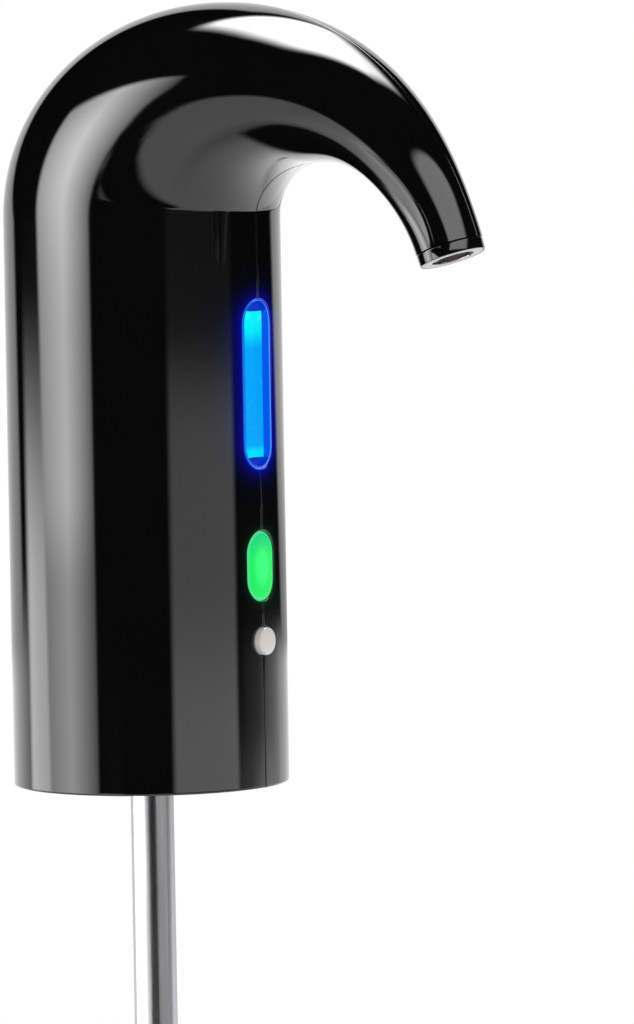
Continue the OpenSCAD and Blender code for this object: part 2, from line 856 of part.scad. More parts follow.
// Round domed cap with a lip behind the wall and a stem to its switch
module power_button() {
    cap_r = power_d / 2 - button_gap;
    rim_r = power_d / 2 + button_lip;
    top = column_r + power_proud;
    rim_top = sqrt(bore_r * bore_r - rim_r * rim_r) - clear;
    rim_low = rim_top - cap_lip_t;
    dome_h = 0.7;
    steps = 8;
    color([0.8, 0.8, 0.8]) translate([0, 0, power_z]) rotate([0, 90, 0]) rotate_extrude() polygon(concat(
        [[0, plunger_top], [power_stem_r, plunger_top], [power_stem_r, rim_low], [rim_r, rim_low],
         [rim_r, rim_top], [cap_r, rim_top]],
        [for (i = [0:steps]) let (a = 90 * i / steps) [cap_r * cos(a), top - dome_h + dome_h * sin(a)]]));
}

module charge_board() {
    color([0.05, 0.3, 0.12])
        block([charge_board_out, -charge_board_w / 2, charge_board_z],
              [charge_board_in, charge_board_w / 2, charge_board_z + board_t]);
}

// Metal receptacle with its mouth in the wall's opening
module charge_socket() {
    shell_t = 0.3;
    back_t = 1;
    tongue_t = 0.7;
    tongue_inset = 0.8;
    tongue_room = 1.3;
    mouth = -charge_mouth;
    back = mouth + charge_depth;
    color("silver") {
        difference() {
            pill(charge_w, charge_h, charge_z, mouth, back);
            pill(charge_w - 2 * shell_t, charge_h - 2 * shell_t, charge_z, mouth - over, back - back_t);
        }
        block([mouth + tongue_inset, -charge_w / 2 + tongue_room, charge_z - tongue_t / 2],
              [back - back_t / 2, charge_w / 2 - tongue_room, charge_z + tongue_t / 2]);
    }
}

// Cylindrical cell, standing in its cup
module battery() {
    cap_h = 1;
    cap_r = 2.9;
    color([0.2, 0.4, 0.7]) translate(cell_at) {
        post(cell_d / 2, plate_top, plate_top + cell_len - cap_h);
        post(cap_r, plate_top + cell_len - cap_h - fuse, plate_top + cell_len);
    }
}

module pump_motor() {
    bearing_depth = 12;
    color("silver") translate(pump_at) difference() {
        union() {
            post(motor_d / 2, pump_z, motor_top);
            post(motor_boss_r, motor_top - fuse, motor_top + motor_boss_h);
        }
        post(shaft_d / 2 + run_gap, motor_top - bearing_depth, motor_top + motor_boss_h + over);
    }
}

module motor_sleeve() {
    proud = 2;
    color([0.15, 0.15, 0.15]) translate(pump_at)
        ring(pump_cup_r - cup_wall - snug, motor_d / 2 + snug, pump_z, pump_z + cup_h + proud);
}

// Shaft, crank wheel and slanted crank pin
module pump_crank() {
    shaft_sunk = 10;
    shaft_top = crank_z + crank_h / 2;
    color("gray") translate(pump_at) {
        post(shaft_d / 2, motor_top - shaft_sunk, shaft_top);
        post(crank_r, crank_z, crank_z + crank_h);
        translate([crank_throw, 0, crank_z + crank_h - fuse]) rotate([0, -crank_tilt, 0])
            cylinder(r = pin_r, h = pin_len + fuse);
    }
}

module pump_frame() {
    floor_t = 2;
    color([0.9, 0.9, 0.88]) translate(pump_at) {
        ring(pump_d / 2, pump_d / 2 - frame_wall, motor_top, frame_top);
        ring(pump_d / 2 - frame_wall + fuse, motor_boss_r + snug, motor_top, motor_top + floor_t);
    }
}

// Three-armed rocker; its hub leaves room for the path of the crank pin
module pump_rocker() {
    hub_r = 3.4;
    hub_bore = 2.5;
    hub_gap = 1.2;
    hub_low = crank_z + crank_h + hub_gap;
    hub_end = 0.4;
    rocker_top = rocker_z + rocker_t;
    color([0.85, 0.85, 0.8]) translate(pump_at) difference() {
        union() {
            post(hub_r, hub_low, rocker_top);
            for (turn = arm_turns) rotate([0, 0, turn]) {
                block([0, -arm_r, rocker_z], [cup_ring, arm_r, rocker_top]);
                translate([cup_ring, 0, 0]) post(arm_r, rocker_z, rocker_top);
            }
        }
        post(hub_bore, hub_low - over, rocker_top - hub_end);
        for (turn = arm_turns) rotate([0, 0, turn]) translate([cup_ring, 0, 0])
            post(stem_r + run_gap, rocker_z - over, rocker_top + over);
    }
}

// Rubber disc with three cups; a button-ended stem under each cup holds the rocker
module pump_diaphragm() {
    rocker_top = rocker_z + rocker_t;
    bead_h = 1;
    bead_out = 0.5;
    stem_low = rocker_z - bead_h;
    bead_r = stem_r + bead_out;
    color([0.2, 0.2, 0.2]) translate(pump_at) {
        post(pump_d / 2, frame_top, frame_top + diaphragm_t);
        for (turn = arm_turns) rotate([0, 0, turn]) translate([cup_ring, 0, 0]) {
            post(cup_r, rocker_top + 2 * snug, frame_top + fuse);
            post(stem_r, stem_low, rocker_top + fuse);
            post(bead_r, stem_low, rocker_z - snug);
        }
    }
}

module pump_head() {
    floor_t = 2;
    color([0.9, 0.9, 0.88]) translate(pump_at) difference() {
        union() {
            post(pump_d / 2, head_low, head_top);
            post(air_nipple_r, head_top - fuse, head_top + nipple_len);
        }
        post(air_nipple_bore, head_low + floor_t, head_top + nipple_len + over);
    }
}

// Block on the socket's ceiling: holds the tube, sends wine up and air down
module manifold() {
    body_low = ceiling_top + flange_t;
    plenum_top = body_low + 1;
    color([0.85, 0.85, 0.85]) difference() {
        union() {
            post(flange_r, ceiling_top, body_low);
            post(manifold_r, body_low - fuse, manifold_top);
            post(spigot_r, socket_depth - spigot_drop, ceiling_top + fuse);
            translate([riser_x, 0, 0]) post(nipple_r, manifold_top - fuse, manifold_top + nipple_len);
            rod(air_nipple_r, air_nipple_z, -manifold_r - nipple_len, -air_duct_x);
        }
        post(tube_r + snug / 2, socket_depth - spigot_drop - over, ceiling_top);
        post(tube_r - tube_wall, ceiling_top - fuse, plenum_top);
        translate([riser_x, 0, 0]) post(nipple_bore, ceiling_top, manifold_top + nipple_len + over);
        translate([-air_duct_x, 0, 0]) post(air_duct_r, ceiling_top - over, air_nipple_z);
        rod(air_nipple_bore, air_nipple_z, -manifold_r - nipple_len - over, -air_duct_x);
    }
}

// Soft stopper: lip seal on the socket's ceiling, ribbed neck, straight wall and tapered end
module neck_plug() {
    plug_r = plug_d / 2;
    low = -plug_drop;
    straight = low + plug_taper;
    grip_top = straight + plug_grip;
    lip_low = socket_depth - lip_t;
    neck_r = plug_r - clear;
    end_inset = 1;
    neck_step = 0.5;
    rib_r = 0.8;
    rib_sunk = 0.2;
    rib_rise = 2.2;
    rib_pitch = 3.2;
    color([0.12, 0.12, 0.12]) difference() {
        union() {
            rotate_extrude() polygon([
                [tube_r + snug, low], [plug_r - end_inset, low], [plug_r, straight], [plug_r, grip_top],
                [neck_r, grip_top + neck_step], [neck_r, lip_low], [socket_r - clear, lip_low],
                [socket_r - clear, socket_depth], [tube_r + snug, socket_depth]]);
            for (i = [0, 1]) translate([0, 0, grip_top + rib_rise + i * rib_pitch])
                rotate_extrude() translate([neck_r - rib_sunk, 0]) circle(r = rib_r, $fn = 24);
        }
        post(spigot_r + snug, socket_depth - spigot_drop - snug, socket_depth + over);
        translate([-air_duct_x, 0, 0]) post(air_duct_r, low - over, socket_depth + over);
    }
}

// Inline valve in the air line
module check_valve() {
    color([0.9, 0.9, 0.95]) translate([air_line_x, 0, 0]) difference() {
        union() {
            post(valve_r, valve_z, valve_z + valve_len);
            post(air_nipple_r, valve_z - nipple_len, valve_z + valve_len + nipple_len);
        }
        post(air_nipple_bore, valve_z - nipple_len - over, valve_z + valve_len + nipple_len + over);
    }
}

// Hose swept along a path in one plane; side is the unit vector square to that plane
module hose(path, side, r, bore) {
    n = hose_sides;
    last = len(path) - 1;
    // flat sides of the bore clear the nipples they sit on
    bore_ring = bore / cos(180 / n);
    function tangent(i) =
        let (d = path[min(i + 1, last)] - path[max(i - 1, 0)]) d / norm(d);
    function loop(i, radius) =
        [for (j = [0:n - 1]) let (a = 360 * j / n)
            path[i] + radius * (cos(a) * side + sin(a) * cross(tangent(i), side))];
    function outer(i, j) = i * 2 * n + j % n;
    function inner(i, j) = i * 2 * n + n + j % n;
    points = joined([for (i = [0:last]) concat(loop(i, r), loop(i, bore_ring))]);
    walls = joined([for (i = [0:last - 1]) for (j = [0:n - 1]) concat(
        two(outer(i, j), outer(i + 1, j), outer(i + 1, j + 1), outer(i, j + 1)),
        two(inner(i, j), inner(i, j + 1), inner(i + 1, j + 1), inner(i + 1, j)))]);
    ends = joined([for (j = [0:n - 1]) concat(
        two(outer(0, j), outer(0, j + 1), inner(0, j + 1), inner(0, j)),
        two(outer(last, j), inner(last, j), inner(last, j + 1), outer(last, j + 1)))]);
    polyhedron(points, concat(walls, ends), convexity = 6);
}

// From the manifold straight up, then forward to the chamber's elbow
module riser_hose() {
    start = [riser_x, 0, manifold_top + snug];
    end = [chamber_x - fitting_r - snug, 0, elbow_z];
    nipple_end = end - [nipple_len, 0, 0];
    straight = 6;
    slack = 14;
    rise = [riser_x, 0, plate_top + straight];
    pull = elbow_z - plate_top - slack;
    end_pull = 3;
    color([0.9, 0.9, 0.95, 0.6])
        hose(concat([start, rise],
                    curve(rise, rise + [0, 0, pull], nipple_end - [end_pull, 0, 0], nipple_end, 8),
                    [end]),
             [0, 1, 0], hose_r, nipple_r + snug);
}

// From the chamber's outlet up into the gooseneck, along its middle and into the spout tip
module outlet_hose() {
    start = [chamber_x, 0, outlet_top + snug];
    rise = start + [0, 0, nipple_len];
    join_share = 0.62;
    join_ring = round(join_share * last_section);
    function middle(i) = [sections[i][0].x, 0, sections[i][0].y];
    join_way = middle(join_ring + 1) - middle(join_ring - 1);
    join_dir = join_way / norm(join_way);
    spout_dir = [spout_axis.x, 0, spout_axis.y];
    end = [seat.x, 0, seat.y] - (tip_spigot - tip_hose_seat + snug) * spout_dir;
    rise_pull = 20;
    join_pull = 16;
    end_straight = 7;
    end_rings = 5;
    color([0.9, 0.9, 0.95, 0.6])
        hose(concat([start, rise],
                    curve(rise, rise + [0, 0, rise_pull], middle(join_ring) - join_pull * join_dir,
                          middle(join_ring), 8),
                    [for (i = [join_ring + 2:2:last_section - end_rings]) middle(i)],
                    [end - end_straight * spout_dir, end]),
             [0, 1, 0], hose_r, nipple_r + snug);
}

// From the pump's nozzle over and down to the check valve
module air_hose_upper() {
    from = [pump_at.x, pump_at.y, head_top + snug];
    to = [air_line_x, 0, valve_z + valve_len + snug];
    top = [from.x, from.y, head_top + nipple_len];
    bend = [to.x, to.y, head_top + nipple_len];
    way = [to.x - from.x, to.y - from.y, 0] / norm([to.x - from.x, to.y - from.y]);
    loop_h = 15;
    color([0.9, 0.9, 0.95, 0.6])
        hose(concat([from, top], curve(top, top + [0, 0, loop_h], bend + [0, 0, loop_h], bend, 10), [to]),
             [-way.y, way.x, 0], air_hose_r, air_nipple_r + snug);
}

// From the check valve down and forward to the manifold
module air_hose_lower() {
    from = [air_line_x, 0, valve_z - snug];
    to = [-manifold_r - snug, 0, air_nipple_z];
    turn_rise = 9;
    turn = [air_line_x, 0, air_nipple_z + turn_rise];
    turn_pull = 6;
    end_pull = 3;
    nipple_end = to - [nipple_len, 0, 0];
    color([0.9, 0.9, 0.95, 0.6])
        hose(concat([from, turn],
                    curve(turn, turn - [0, 0, turn_pull], nipple_end - [end_pull, 0, 0], nipple_end, 8),
                    [to]),
             [0, 1, 0], air_hose_r, air_nipple_r + snug);
}

// Tube with a rolled-in lip at its lower end that guides the next stage
module stage(r, low, top, lip_r) {
    difference() {
        post(r, low, top);
        post(r - tube_wall, low + lip_h, top + over);
        post(lip_r, low - over, low + lip_h + over);
    }
}

module tube_upper() {
    color("silver") stage(tube_r, upper_low, upper_top, middle_r + snug);
}

module tube_middle() {
    color("silver") stage(middle_r, middle_low, middle_top, lower_r + snug);
}

module tube_lower() {
    color("silver") stage(lower_r, lower_low, lower_top, lower_r - tube_wall);
}

// Friction bush near the top of a sliding stage
module bush(r, top) {
    ring(r + stage_gap - run_gap, r, top - bush_drop - bush_len, top - bush_drop);
}

module middle_bush() {
    color([0.9, 0.9, 0.85]) bush(middle_r, middle_top);
}

module lower_bush() {
    color([0.9, 0.9, 0.85]) bush(lower_r, lower_top);
}

// Slotted cup on the lower end of the tube
module intake_foot() {
    top = middle_low - 2 * clear;
    low = top - foot_h;
    slot_w = 2;
    slot_h = 2.5;
    foot_edge = 0.4;
    foot_r = middle_r + foot_edge;
    color([0.12, 0.12, 0.12]) difference() {
        post(foot_r, low, top);
        post(lower_r, lower_low, top + over);
        post(lower_r - tube_wall, low - over, lower_low + over);
        for (turn = [0, 90]) rotate([0, 0, turn])
            block([-foot_r - over, -slot_w / 2, low - over], [foot_r + over, slot_w / 2, low + slot_h]);
    }
}

left_shell();
right_shell();
base_cover();
base_screws();
chassis();
chassis_screws();
spout_tip();
spout_ring();
window_lens();
aeration_chamber();
chamber_inlet();
chamber_outlet();
pour_button();
pour_plunger();
power_button();
power_plunger();
pour_switch();
power_switch();
main_board();
board_screws();
led_board();
blue_leds();
green_leds();
charge_board();
charge_socket();
battery();
pump_motor();
motor_sleeve();
pump_crank();
pump_frame();
pump_rocker();
pump_diaphragm();
pump_head();
manifold();
neck_plug();
riser_hose();
outlet_hose();
air_hose_upper();
check_valve();
air_hose_lower();
tube_upper();
tube_middle();
middle_bush();
tube_lower();
lower_bush();
intake_foot();
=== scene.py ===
import math

import bmesh
import bpy
from mathutils import Matrix, Vector


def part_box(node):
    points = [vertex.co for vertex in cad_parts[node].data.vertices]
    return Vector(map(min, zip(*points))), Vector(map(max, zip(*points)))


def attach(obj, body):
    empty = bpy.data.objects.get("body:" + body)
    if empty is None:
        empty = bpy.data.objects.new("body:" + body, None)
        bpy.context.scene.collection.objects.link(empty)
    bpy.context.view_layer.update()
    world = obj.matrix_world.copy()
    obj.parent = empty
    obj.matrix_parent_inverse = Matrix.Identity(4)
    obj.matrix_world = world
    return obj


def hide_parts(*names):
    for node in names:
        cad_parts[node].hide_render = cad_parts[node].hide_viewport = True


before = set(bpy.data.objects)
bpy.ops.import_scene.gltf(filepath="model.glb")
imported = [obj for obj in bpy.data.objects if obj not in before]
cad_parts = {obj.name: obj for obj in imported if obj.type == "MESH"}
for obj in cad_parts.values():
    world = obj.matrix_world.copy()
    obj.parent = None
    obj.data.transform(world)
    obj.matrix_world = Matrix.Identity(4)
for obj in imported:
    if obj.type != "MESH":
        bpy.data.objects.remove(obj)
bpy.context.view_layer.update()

bl_info = {
    "name": "Wine aerator looks",
    "version": (1, 0, 0),
    "blender": (4, 5, 0),
    "location": "View3D > Sidebar > Aerator",
    "description": "Dresses the packed solids of an electric wine aerator",
    "category": "Object",
}

MM = 0.001
IMAGE_H = 1024
UP = Vector((0, 0, 1))
DARK = (0.0, 0.0, 0.0)
SPIN = 96
CREASE = math.radians(40)
TINY = 1e-6
MERGE = 1e-8
LENS_GAP = 0.0001
LIT_HALF = 0.0167
LIP_PLAY = 0.0003
LIP_T = 0.0014


def length(name, description, default):
    """A length in metres."""
    return bpy.props.FloatProperty(
        name=name, description=description, default=default, min=0.0, unit="LENGTH", precision=5)


def angle(name, description, degrees):
    """An angle, given in degrees."""
    return bpy.props.FloatProperty(
        name=name, description=description, default=math.radians(degrees), unit="ROTATION")


def colour(name, description, default):
    """A linear colour."""
    return bpy.props.FloatVectorProperty(
        name=name, description=description, default=default, size=3, min=0.0, max=1.0, subtype="COLOR")


def number(name, description, default):
    """A plain number from 0 up."""
    return bpy.props.FloatProperty(name=name, description=description, default=default, min=0.0)


class ShellSizes(bpy.types.PropertyGroup):
    """Sizes of the two half shells"""

    column_r: length("Column radius", "Outside radius of the upright column", 0.032)
    column_h: length("Column height", "Height of the straight column", 0.131)
    wall: length("Wall", "Wall thickness of the column", 0.0024)
    rim_round: length("Rim rounding", "Rounding of the bottom rim", 0.0006)
    seam_gap: length("Seam gap", "Gap between the half shells", 0.0002)
    seam_round: length("Seam rounding", "Rounding of the shells' edges along the seam", 0.00025)
    crown_reach: length("Crown reach", "Distance of the crown from the axis", 0.023)
    crown_rise: length("Crown rise", "Height of the crown above the column", 0.0489)
    crown_pull: length("Crown pull", "Level run of the outer curve", 0.0265)
    throat_reach: length("Throat reach", "Distance of the inner arch's top from the axis", 0.049)
    throat_rise: length("Throat rise", "Height of the inner arch above the column", 0.012)
    throat_pull: length("Throat pull", "Level run of the inner curve", 0.0085)
    bend_lift: length("Bend lift", "Height above the column at which its wall bends, at the front", 0.0012)
    bend_slope: number("Bend slope", "Rise of that height towards the back", 0.14)
    bend_soft: length("Bend softness", "Half the height of that bend", 0.0003)
    spout_reach: length("Spout reach", "Distance of the spout's seat from the axis", 0.084)
    spout_drop: length("Spout drop", "Depth of the spout's seat below the column's top", 0.007)
    spout_tilt: angle("Spout tilt", "Lean of the spout's axis from the vertical", 18.5)
    spout_r: length("Spout radius", "Outside radius of the gooseneck at its seat", 0.0078)
    spout_wall: length("Spout wall", "Wall thickness at the spout", 0.0022)
    nose_pull: length("Nose pull", "Straight run of the outer curve into the spout", 0.041)
    chin_pull: length("Chin pull", "Straight run of the inner curve into the spout", 0.0235)


class FrontSizes(bpy.types.PropertyGroup):
    """Sizes of the window, the buttons and the charging opening"""

    window_w: length("Window width", "Width of the window", 0.0114)
    window_h: length("Window height", "Height of the window", 0.039)
    window_z: length("Window level", "Height of the window's centre", 0.0926)
    lens_t: length("Lens thickness", "Thickness of the lens", 0.002)
    lens_lip: length("Lens lip", "Width and depth of the lens's lip", 0.0015)
    pour_w: length("Pour button width", "Width of the lit button", 0.0106)
    pour_h: length("Pour button height", "Height of the lit button", 0.0163)
    pour_z: length("Pour button level", "Height of the lit button's centre", 0.051)
    power_d: length("Power button diameter", "Diameter of the silver button", 0.0068)
    power_z: length("Power button level", "Height of the silver button's centre", 0.0338)
    power_proud: length("Power button proud", "How far the silver button stands out", 0.0016)
    button_gap: length("Button gap", "Clearance round the buttons", 0.0002)
    button_lip: length("Button lip", "Width of the buttons' lips", 0.0012)
    hole_round: length("Hole rounding", "Rounding of the openings' edges", 0.0003)
    charge_w: length("Inlet width", "Width of the charging opening", 0.0094)
    charge_h: length("Inlet height", "Height of the charging opening", 0.0036)
    charge_z: length("Inlet level", "Height of the charging opening's centre", 0.0156)


class EndSizes(bpy.types.PropertyGroup):
    """Sizes of the spout tip and the neck plug"""

    tip_len: length("Collar length", "Length of the collar below the gooseneck", 0.0028)
    tip_spigot: length("Spigot length", "Length of the tip inside the gooseneck", 0.008)
    outlet_r: length("Outlet radius", "Radius of the outlet", 0.0036)
    hose_seat_r: length("Hose seat radius", "Radius of the hose's seat in the tip", 0.0043)
    ring_edge: length("Ring edge", "Dark edge round the bright ring", 0.0005)
    ring_t: length("Ring thickness", "Thickness of the bright ring", 0.0006)
    ring_w: length("Ring width", "Width of the bright ring's face", 0.0024)
    flare_h: length("Flare", "Height of the outlet's flare behind the ring", 0.0016)
    plug_r: length("Plug radius", "Radius of the plug's straight wall", 0.00925)
    plug_drop: length("Plug drop", "How far the plug reaches below the rim", 0.0025)
    plug_taper: length("Plug taper", "Length of the plug's tapered end", 0.0015)
    plug_grip: length("Plug grip", "Length of the plug's straight wall", 0.015)
    plug_bore: length("Plug bore", "Radius of the plug's bore", 0.0051)
    socket_r: length("Socket radius", "Radius of the socket round the plug", 0.0156)
    socket_depth: length("Socket depth", "Depth of the socket", 0.025)
    lip_t: length("Lip seal", "Thickness of the lip seal", 0.0025)
    spigot_r: length("Manifold spigot", "Radius of the spigot inside the plug", 0.0063)
    spigot_drop: length("Manifold spigot depth", "Depth of the spigot inside the plug", 0.0081)
    duct_x: length("Air duct place", "Distance of the air duct from the axis", 0.0076)
    duct_r: length("Air duct radius", "Radius of the air duct", 0.0008)


class FinishColours(bpy.types.PropertyGroup):
    """Colours of the finishes"""

    shell: colour("Shell", "Piano black of the shells", (0.0024, 0.0024, 0.0026))
    halo: colour("Halo", "Blue light that the window spills on the shells", (0.0, 0.002, 0.3))
    green_spill: colour("Green spill", "Light that the pour button spills on the shells", (0.0, 0.03, 0.008))
    bar: colour("Bar", "Lit chamber behind the window", (0.0, 0.42, 0.87))
    bar_end: colour("Bar end", "Ends of the lit chamber", (0.0, 1.0, 0.84))
    cavity: colour("Cavity", "Light in the space round the chamber", (0.0, 0.03, 0.5))
    rim: colour("Window rim", "Lit edge of the lens", (0.04, 0.24, 1.0))
    rim_far: colour("Far rim", "Dimmer lit edge of the lens on its left", (0.0, 0.13, 0.72))
    wall: colour("Window wall", "Lit side wall of the lens", (0.0, 0.12, 0.8))
    lens: colour("Lens", "Tint of the clear lens", (0.62, 0.8, 1.0))
    blue_body: colour("Blue body", "Lit blue pieces under other light", (0.0, 0.02, 0.1))
    green_body: colour("Green body", "Lit pour button under other light", (0.01, 0.16, 0.04))
    green: colour("Green", "Lit pour button", (0.0, 0.78, 0.1))
    green_core: colour("Green core", "Middle of the lit pour button", (0.03, 1.0, 0.19))
    green_top: colour("Green top", "Upper end of the lit pour button", (0.0, 0.6, 0.2))
    # Painted highlight: the lighter, greyish line round the edge of the lit pour button
    green_rim_highlight: colour("Green rim", "Edge of the lit pour button", (0.09, 0.7, 0.29))
    silver: colour("Silver", "Satin silver of the power button", (0.8, 0.79, 0.78))
    base: colour("Base", "Moulded black of the base", (0.018, 0.018, 0.02))
    rubber: colour("Rubber", "Soft plug", (0.022, 0.022, 0.024))
    steel: colour("Steel", "Drawn steel", (0.62, 0.62, 0.63))
    plated: colour("Plated", "Bright ring", (0.62, 0.6, 0.61))


class StudioSettings(bpy.types.PropertyGroup):
    """Camera and light"""

    azimuth: angle("Azimuth", "Camera's angle round the column", 33.671)
    elevation: angle("Elevation", "Camera's angle above the horizon", 3.623)
    roll: angle("Roll", "Turn of the camera about its own axis", -0.942)
    distance: length("Distance", "Distance of the camera from its target", 1.4985)
    target_side: length("Target side", "Target's place to the right of the column", 0.039322)
    target_z: length("Target height", "Target's height above the rim", 0.062069)
    focal_px: number("Focal length", "Focal length in pixels of the photograph's frame", 6473.6)
    sensor: number("Sensor", "Long side of the sensor in millimetres", 36.0)
    floor_z: bpy.props.FloatProperty(
        name="Floor level", description="Height of the floor, below the drawn-out tube",
        default=-0.27, unit="LENGTH")
    ambient: number("Ambient", "Level of the plain light from all round", 0.9)


class Wire:
    """A socket that takes part in Python arithmetic by adding nodes."""

    def __init__(self, graph, socket):
        self.graph = graph
        self.socket = socket

    def maths(self, operation, *values):
        """A Math node, or a Vector Math node where a vector takes part."""
        wide = any(isinstance(v, (tuple, Vector)) or isinstance(v, Wire) and v.socket.type == "VECTOR"
                   for v in values)
        kind = "ShaderNodeVectorMath" if wide else "ShaderNodeMath"
        made = self.graph.node(kind, {"operation": operation}, dict(enumerate(values)))
        return made["Value"] if operation == "DOT_PRODUCT" else made[0]

    def __add__(self, other):
        return self.maths("ADD", self, other)

    def __radd__(self, other):
        return self.maths("ADD", other, self)

    def __sub__(self, other):
        return self.maths("SUBTRACT", self, other)

    def __rsub__(self, other):
        return self.maths("SUBTRACT", other, self)

    def __mul__(self, other):
        return self.maths("MULTIPLY", self, other)

    def __rmul__(self, other):
        return self.maths("MULTIPLY", other, self)

    def __truediv__(self, other):
        return self.maths("DIVIDE", self, other)

    def __rtruediv__(self, other):
        return self.maths("DIVIDE", other, self)

    def __pow__(self, other):
        return self.maths("POWER", self, other)

    def __neg__(self):
        return self.maths("MULTIPLY", self, -1.0)

    def __abs__(self):
        return self.maths("ABSOLUTE", self)

    def below(self, other):
        """The smaller of the two."""
        return self.maths("MINIMUM", self, other)

    def above(self, other):
        """The larger of the two."""
        return self.maths("MAXIMUM", self, other)

    def over(self, limit):
        """1 where this is over the limit, and 0 elsewhere."""
        return self.maths("GREATER_THAN", self, limit)

    def past(self, limit):
        """How far this is above a limit, or 0 below it."""
        return (self - limit).above(0.0)

    def short(self, limit):
        """How far this is below a limit, or 0 above it."""
        return (limit - self).above(0.0)

    def exp(self):
        """The number e to the power of this."""
        return self.maths("EXPONENT", self)

    def dot(self, other):
        """Dot product with a vector."""
        return self.maths("DOT_PRODUCT", self, other)

    def between(self, low, high, soft):
        """1 between two limits, falling to 0 over a soft edge at each."""
        return self.ease(low - soft, low + soft) * self.fall(high - soft, high + soft)

    def ease(self, low, high):
        """0 below low, 1 above high, and a smooth step between them."""
        return self.graph.node(
            "ShaderNodeMapRange", {"interpolation_type": "SMOOTHSTEP"},
            {"Value": self, "From Min": low, "From Max": high})["Result"]

    def fall(self, low, high):
        """1 below low, 0 above high, and a smooth step between them."""
        return 1.0 - self.ease(low, high)

    def stairs(self, start, *steps):
        """A level that begins at start and changes smoothly by each (low, high, change)."""
        level = start
        for low, high, change in steps:
            level = self.ease(low, high) * change + level
        return level


class Made:
    """A node whose outputs are Wires."""

    def __init__(self, graph, node):
        self.graph = graph
        self.node = node

    def __getitem__(self, key):
        return Wire(self.graph, self.node.outputs[key])


class Graph:
    """Nodes of a material or of the world."""

    def __init__(self, owner):
        owner.use_nodes = True
        self.tree = owner.node_tree
        self.tree.nodes.clear()

    def node(self, kind, settings=None, sockets=None):
        """Adds a node: its settings first, and then the values or links of its sockets."""
        node = self.tree.nodes.new(kind)
        for key, value in (settings or {}).items():
            setattr(node, key, value)
        for key, value in (sockets or {}).items():
            self.put(node.inputs[key], value)
        return Made(self, node)

    def put(self, socket, value):
        """Links a Wire to a socket, or sets the socket's value."""
        if isinstance(value, Wire):
            self.tree.links.new(value.socket, socket)
        elif isinstance(value, Made):
            self.tree.links.new(value.node.outputs[0], socket)
        elif socket.type == "RGBA" and len(value) == 3:
            socket.default_value = (*value, 1.0)
        else:
            socket.default_value = value

    def place(self):
        """Position in the object's own frame, in metres."""
        return self.node("ShaderNodeTexCoord")["Object"]

    def split(self, vector):
        """The three parts of a vector."""
        parts = self.node("ShaderNodeSeparateXYZ", None, {0: vector})
        return parts[0], parts[1], parts[2]

    def blend(self, share, first, second):
        """A colour between two others."""
        return self.node("ShaderNodeMix", {"data_type": "RGBA"}, {0: share, 6: first, 7: second})[2]

    def noise(self, vector, scale, detail=2.0):
        """Cloudy noise from 0 to 1."""
        return self.node(
            "ShaderNodeTexNoise", None, {"Vector": vector, "Scale": scale, "Detail": detail})["Fac"]

    def bump(self, height, strength, distance):
        """Normal of a surface with this relief."""
        return self.node(
            "ShaderNodeBump", None,
            {"Height": height, "Strength": strength, "Distance": distance})["Normal"]

    def mix_out(self, share, first, second):
        """Ends a material with a mix of two shaders."""
        both = self.node("ShaderNodeMixShader", None, {0: share, 1: first, 2: second})
        self.node("ShaderNodeOutputMaterial", None, {"Surface": both})


def span(first, second):
    """Length of the long side of a right triangle."""
    return (first * first + second * second) ** 0.5


def scaled(shade, by):
    """A colour at another brightness."""
    return tuple(min(by * part, 1.0) for part in shade)


def finish(name, make):
    """A material whose Principled sockets make(graph) gives by name."""
    material = bpy.data.materials.get(name)
    if material:
        return material
    material = bpy.data.materials.new(name)
    graph = Graph(material)
    shader = graph.node("ShaderNodeBsdfPrincipled", None, make(graph))
    graph.node("ShaderNodeOutputMaterial", None, {"Surface": shader})
    return material


def pill_distance(graph, width, height, level):
    """Distance in the YZ plane from a pill's outline, below 0 inside it."""
    _, across, rise = graph.split(graph.place())
    return span(across, abs(rise - level).past((height - width) / 2)) - width / 2


def piano_black(scene):
    """Polished black plastic that takes the window's and the pour button's light round their openings."""
    front, tints = scene.aerator_front, scene.aerator_colours
    blue_reach, green_reach = 0.0019, 0.0007
    end_squeeze = 0.8

    def make(graph):
        place = graph.place()
        depth, across, rise = graph.split(place)
        facing = depth.over(front.window_w)
        away = pill_distance(graph, front.window_w, front.window_h, front.window_z).above(0.0)
        past = abs(rise - front.window_z).past((front.window_h - front.window_w) / 2)
        blue = away * (past / (past + abs(across) + MM) * end_squeeze + 1.0) / blue_reach
        green = pill_distance(graph, front.pour_w, front.pour_h, front.pour_z).above(0.0) / green_reach
        spill = graph.blend((-blue).exp() * facing, DARK, tints.halo)
        haze = graph.noise(place, scale=45.0)
        peel = graph.noise(place, scale=420.0, detail=1.0)
        return {
            "Base Color": graph.blend(haze, tints.shell, scaled(tints.shell, 1.5)),
            "Roughness": haze * 0.03 + 0.035,
            "IOR": 1.66,
            "Emission Color": graph.blend((-green).exp() * facing, spill, tints.green_spill),
            "Emission Strength": 1.0,
            "Normal": graph.bump(peel, strength=0.05, distance=0.00002),
        }

    return finish("Piano black", make)


def moulded(name, shade, rough, grain=900.0):
    """Moulded plastic or rubber with a fine grain."""
    play = 0.08

    def make(graph):
        place = graph.place()
        cloud = graph.noise(place, scale=60.0)
        grit = graph.noise(place, grain)
        return {
            "Base Color": graph.blend(cloud, scaled(shade, 0.86), scaled(shade, 1.1)),
            "Roughness": grit * (2 * play) + (rough - play),
            "Normal": graph.bump(grit, strength=0.5, distance=0.00003),
        }

    return finish(name, make)


